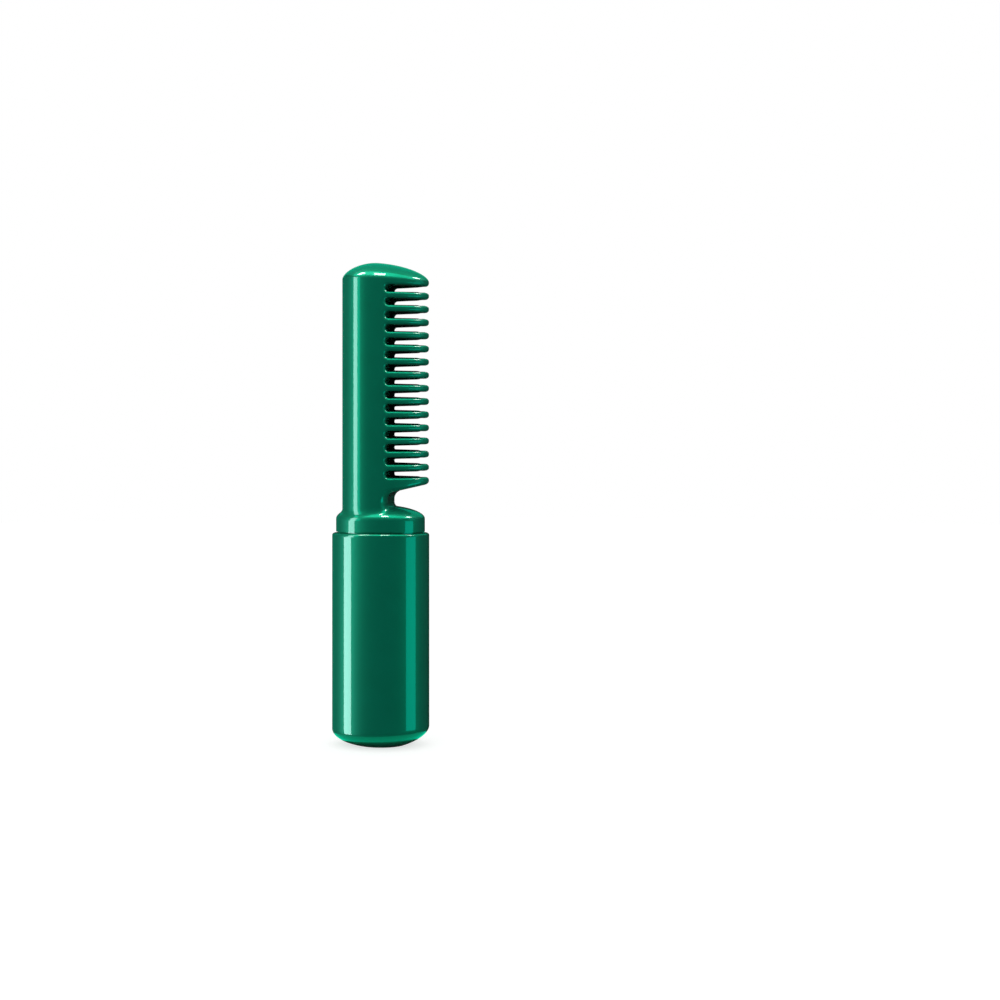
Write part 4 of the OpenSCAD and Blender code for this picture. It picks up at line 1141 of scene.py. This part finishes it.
def tinned_can():
    """Tin-plated can of the thermal fuse: soft grey metal, a little cloudy."""
    material = shader("tinned_can", Metallic=1.0)
    mottle(material, "#b3b4b6", "#d0d0cf", 0.0005)
    worn_gloss(material, 0.3, 0.42, 0.0004)
    return material


def dipped_epoxy():
    """Bead of dark epoxy on the temperature sensor: smooth, glassy and slightly uneven."""
    material = shader("dipped_epoxy", Roughness=0.12, IOR=1.55)
    mottle(material, "#14191e", "#20272e", 0.0008)
    grain(material, 0.0012, 0.00003)
    return material


def gold_flash():
    """Gold flash on the socket's contacts: bright yellow metal, rubbed duller in places."""
    material = shader("gold_flash", Metallic=1.0)
    mottle(material, "#d9a441", "#ecc368", 0.0005)
    worn_gloss(material, 0.15, 0.35, 0.0004)
    return material


MATERIALS = {
    "green_plastic": lacquered_abs(),
    "bezel_metal": lacquered_abs("lacquered_abs_light", "#0b8062", "#108d6d"),
    "clear_plastic": frosted_polycarbonate(),
    "sheet_steel": nickelled_steel(),
    "nickel_strip": rolled_nickel(),
    "screw_steel": zinc_plated_steel(),
    "black_plastic": textured_nylon(),
    "ivory_plastic": textured_nylon("ivory_nylon", "#d3cbb2", "#dfd9c4"),
    "cell_wrap": shrink_film(),
    "black_foam": eva_foam(),
    "board_laminate": solder_mask(),
    "chip_resin": moulding_resin(),
    "lead_insulation": silicone_insulation(),
    "comb_coating": non_stick_coating(),
    "heater_ceramic": fired_alumina(),
    "mica_sheet": split_mica(),
    "spacer_brass": turned_brass(),
    "fuse_can": tinned_can(),
    "sensor_bead": dipped_epoxy(),
}


def finish_cad_nodes():
    """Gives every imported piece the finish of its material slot."""
    for part in frame["record"]["subparts"]:
        slots = frame["nodes"][part["node"]].data.materials
        slots.clear()
        slots.append(MATERIALS[part["material_slot"]])


# Pieces

def add_piece(name, node, slot, grids, **settings):
    """A new piece in its slot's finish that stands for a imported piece."""
    return piece(name, grids, MATERIALS[slot], slot, replaces=[node], **settings)


finish_cad_nodes()
comb_grids = comb_half()
plate_grids = heating_comb_half()
socket_grids = socket_shell_half()
add_piece("comb_front", "comb_front_shell", "green_plastic", comb_grids, fill=(0, 1, 0))
add_piece("comb_rear", "comb_rear_shell", "green_plastic", mirrored(comb_grids), fill=(0, -1, 0))
add_piece("handle_front", "handle_front_shell", "green_plastic", handle_half(False), fill=(0, 1, 0))
add_piece("handle_rear", "handle_rear_shell", "green_plastic", mirrored(handle_half(True)),
          fill=(0, -1, 0))
add_piece("heating_blade", "heating_comb", "comb_coating", plate_grids + mirrored(plate_grids))
add_piece("button_cap", "power_button", "green_plastic", button_cap(), body="button")
add_piece("bezel_ring", "button_bezel", "bezel_metal", bezel_ring())
add_piece("light_pipes", "status_light_pipes", "clear_plastic", light_pipes())
add_piece("socket_shell", "usb_socket_shell", "sheet_steel", socket_grids + mirrored(socket_grids))
add_piece("socket_tongue", "usb_socket_tongue", "black_plastic", socket_tongue())
piece("socket_contacts", socket_contacts(), gold_flash(), "spacer_brass")


# Camera, lamps and background, in metres

CAMERA_AT = (0.1001, -0.4963, 0.1092)
CAMERA_TURN = math.radians(6.7)
LENS_MM = 52.2
SENSOR_MM = 36.0
HORIZON_SHIFT = -0.07
NEAR_CLIP = 0.01
WORLD_LEVEL = 0.8
FLOOR_LIFT = 0.68
FLOOR_RADII = (0, 0.02, 0.05, 0.1, 0.25, 0.6, 1.3)
CARD_RADII = (0.0106, 0.0165)
CARD_OVAL = 1.3
CARD_Z = 0.0005
CARD_LEVEL = 1.2
TENT_R = 1.4
WHITE = "#ffffff"
TEAL = "#00ffcb"
MINT = "#ccfffa"
AQUA = "#00ffe0"
LEFT_FAR = 0.35
RIGHT_FAR = 0.4
SPOT_FAR = 0.5
SPOT_HALF = 6
SPOT_LEVEL = 25
SHEET_FAR = 0.55


def camera():
    """Level camera a little to the teeth's side, with its axis 70 pixels above the middle."""
    view = bpy.data.cameras.new("view")
    view.lens = LENS_MM
    view.sensor_width = SENSOR_MM
    view.shift_y = HORIZON_SHIFT
    view.clip_start = NEAR_CLIP
    made = bpy.data.objects.new("view", view)
    made.location = CAMERA_AT
    made.rotation_euler = (math.pi / 2, 0, CAMERA_TURN)
    bpy.context.scene.collection.objects.link(made)
    bpy.context.scene.camera = made


def lamp(name, sides, heights, distance, strength, colour, rise=0):
    """Rectangular lamp, seen only in the gloss, that faces the object's axis between two azimuths
    from the front, positive to the right, and two heights in metres, then swung up by rise degrees.
    Strength is the brightness of its face."""
    data = bpy.data.lights.new(name, "AREA")
    data.shape = "RECTANGLE"
    data.size = 2 * distance * math.tan(math.radians(sides[1] - sides[0]) / 2)
    data.size_y = heights[1] - heights[0]
    data.energy = strength * math.pi * data.size * data.size_y
    data.color = srgb(colour)[:3]
    made = bpy.data.objects.new(name, data)
    turn = math.radians(sum(sides) / 2)
    lift = math.radians(rise)
    level = distance * math.cos(lift)
    made.location = (level * math.sin(turn), -level * math.cos(turn),
                     sum(heights) / 2 + distance * math.sin(lift))
    made.rotation_euler = (math.pi / 2 - lift, 0, turn)
    made.visible_diffuse = False
    made.visible_camera = False
    bpy.context.scene.collection.objects.link(made)


def lamps():
    """The lamps, each with its azimuths in degrees, its heights, how far it is swung up and its
    brightness: tall strips at both sides, in parts for the handle, the collar and the head, small
    spots that sparkle on the edges, and wide sheets for the domes and for the back."""
    for part, sides, heights, strength, colour in (
            ("low", (-74.7, -55.2), (-0.16, 0.0501), 11.2, MINT),
            ("middle", (-68.7, -52.3), (0.0501, 0.0595), 9.5, MINT),
            ("high", (-64.5, -49.5), (0.0595, 0.3), 9.6, MINT),
            ("glow", (-49.5, -40), (0.0595, 0.3), 3.5, TEAL),
            ("side", (-150, -80), (-0.16, 0.3), 0.25, TEAL)):
        lamp("left_" + part, sides, heights, LEFT_FAR, strength, colour)
    for part, sides, heights, strength in (
            ("low", (51.2, 78.5), (-0.09, 0.0465), 3.3),
            ("middle", (52.8, 78), (0.0465, 0.056), 3.4),
            ("high", (64, 88), (0.072, 0.3), 0.8)):
        lamp("right_" + part, sides, heights, RIGHT_FAR, strength, AQUA)
    for part, azimuth, heights, rise in (
            ("left", -60, (0.07, 0.25), 57),
            ("front", 7, (0.08, 0.24), 64),
            ("right", 86, (0.1, 0.22), 46)):
        sides = (azimuth - SPOT_HALF, azimuth + SPOT_HALF)
        lamp("spot_" + part, sides, heights, SPOT_FAR, SPOT_LEVEL, WHITE, rise)
    for part, sides, heights, rise, strength in (
            ("front", (-50, 50), (-0.02, 0.32), 68, 4.2),
            ("back", (130, 230), (-0.05, 0.35), 67, 0.7),
            ("rear", (140, 220), (0, 0.3), 32, 0.7)):
        lamp("sheet_" + part, sides, heights, SHEET_FAR, strength, TEAL, rise)


def world():
    """White background for camera, glossy and transmitted rays, and an even grey light."""
    made = bpy.data.worlds.new("studio")
    made.use_nodes = True
    tree = made.node_tree
    path = add(tree, "ShaderNodeLightPath").outputs
    either = add(tree, "ShaderNodeMath", {"operation": "MAXIMUM"},
                 links={0: path["Is Camera Ray"], 1: path["Is Glossy Ray"]})
    any_of_three = add(tree, "ShaderNodeMath", {"operation": "MAXIMUM"},
                       links={0: either.outputs[0], 1: path["Is Transmission Ray"]})
    strength = add(tree, "ShaderNodeMapRange", values={"To Min": WORLD_LEVEL, "To Max": 1.0},
                   links={"Value": any_of_three.outputs[0]})
    back = tree.nodes["Background"]
    back.inputs["Color"].default_value = srgb(WHITE)
    tree.links.new(strength.outputs["Result"], back.inputs["Strength"])
    bpy.context.scene.world = made


def stage_mesh(name, grid, material):
    """A surface round the object that isn't part of it."""
    rows, cols = grid.shape[:2]
    mesh = bpy.data.meshes.new(name)
    mesh.from_pydata(grid.reshape(-1, 3), [], grid_faces(rows, cols))
    mesh.materials.append(material)
    made = bpy.data.objects.new(name, mesh)
    bpy.context.scene.collection.objects.link(made)
    return made


def disc(radii, z):
    """Flat round surface with rings at the given radii."""
    turn = np.radians(np.linspace(0, 360, 97))
    radius = np.asarray(radii)[:, None]
    return point_grid(radius * np.cos(turn), radius * np.sin(turn), z)


def only_in_gloss(made):
    """Hides a surface from every ray but those that the gloss mirrors."""
    for unseen in ("camera", "diffuse", "transmission", "shadow"):
        setattr(made, "visible_" + unseen, False)


def floor():
    """White board under the object. For the camera it shines as well, up to white, so that only the
    object's shadow shows on it, and the gloss doesn't mirror it."""
    material = shader("matt_white_board", Roughness=0.9, Specular_IOR_Level=0,
                      Base_Color=srgb("#bcbcbc"), Emission_Color=srgb(WHITE))
    path = add(material.node_tree, "ShaderNodeLightPath").outputs
    lift = add(material.node_tree, "ShaderNodeMapRange", values={"To Max": FLOOR_LIFT},
               links={"Value": path["Is Camera Ray"]})
    connect(material, lift.outputs["Result"], "Emission Strength")
    made = stage_mesh("floor", disc(FLOOR_RADII, 0), material)
    made.visible_glossy = False
    made.visible_shadow = False


def green_card():
    """Oval ring of green card on the floor close round the object, which shows only in the gloss of
    its rounded lower end."""
    material = shader("green_card", Roughness=1.0, Base_Color=srgb("#000000"),
                      Emission_Color=srgb(TEAL), Emission_Strength=CARD_LEVEL)
    ring = disc(CARD_RADII, CARD_Z) * np.array([CARD_OVAL, 1, 1])
    only_in_gloss(stage_mesh("green_card", ring, material))


def dark_tent():
    """Dark cloth all round: it is what the gloss mirrors where there is no lamp. Only mirrored rays
    meet it, so it never hides the object or dims the light on it."""
    material = shader("black_velvet", Roughness=1.0, Base_Color=srgb("#151515"))
    turn = np.radians(np.linspace(0, 360, 65))
    rise = np.radians(np.linspace(-90, 90, 33))[:, None]
    ball = TENT_R * point_grid(np.cos(rise) * np.sin(turn), -np.cos(rise) * np.cos(turn),
                               np.sin(rise))
    only_in_gloss(stage_mesh("dark_tent", ball, material))


camera()
world()
floor()
green_card()
dark_tent()
lamps()
bpy.context.scene.view_settings.view_transform = "Standard"
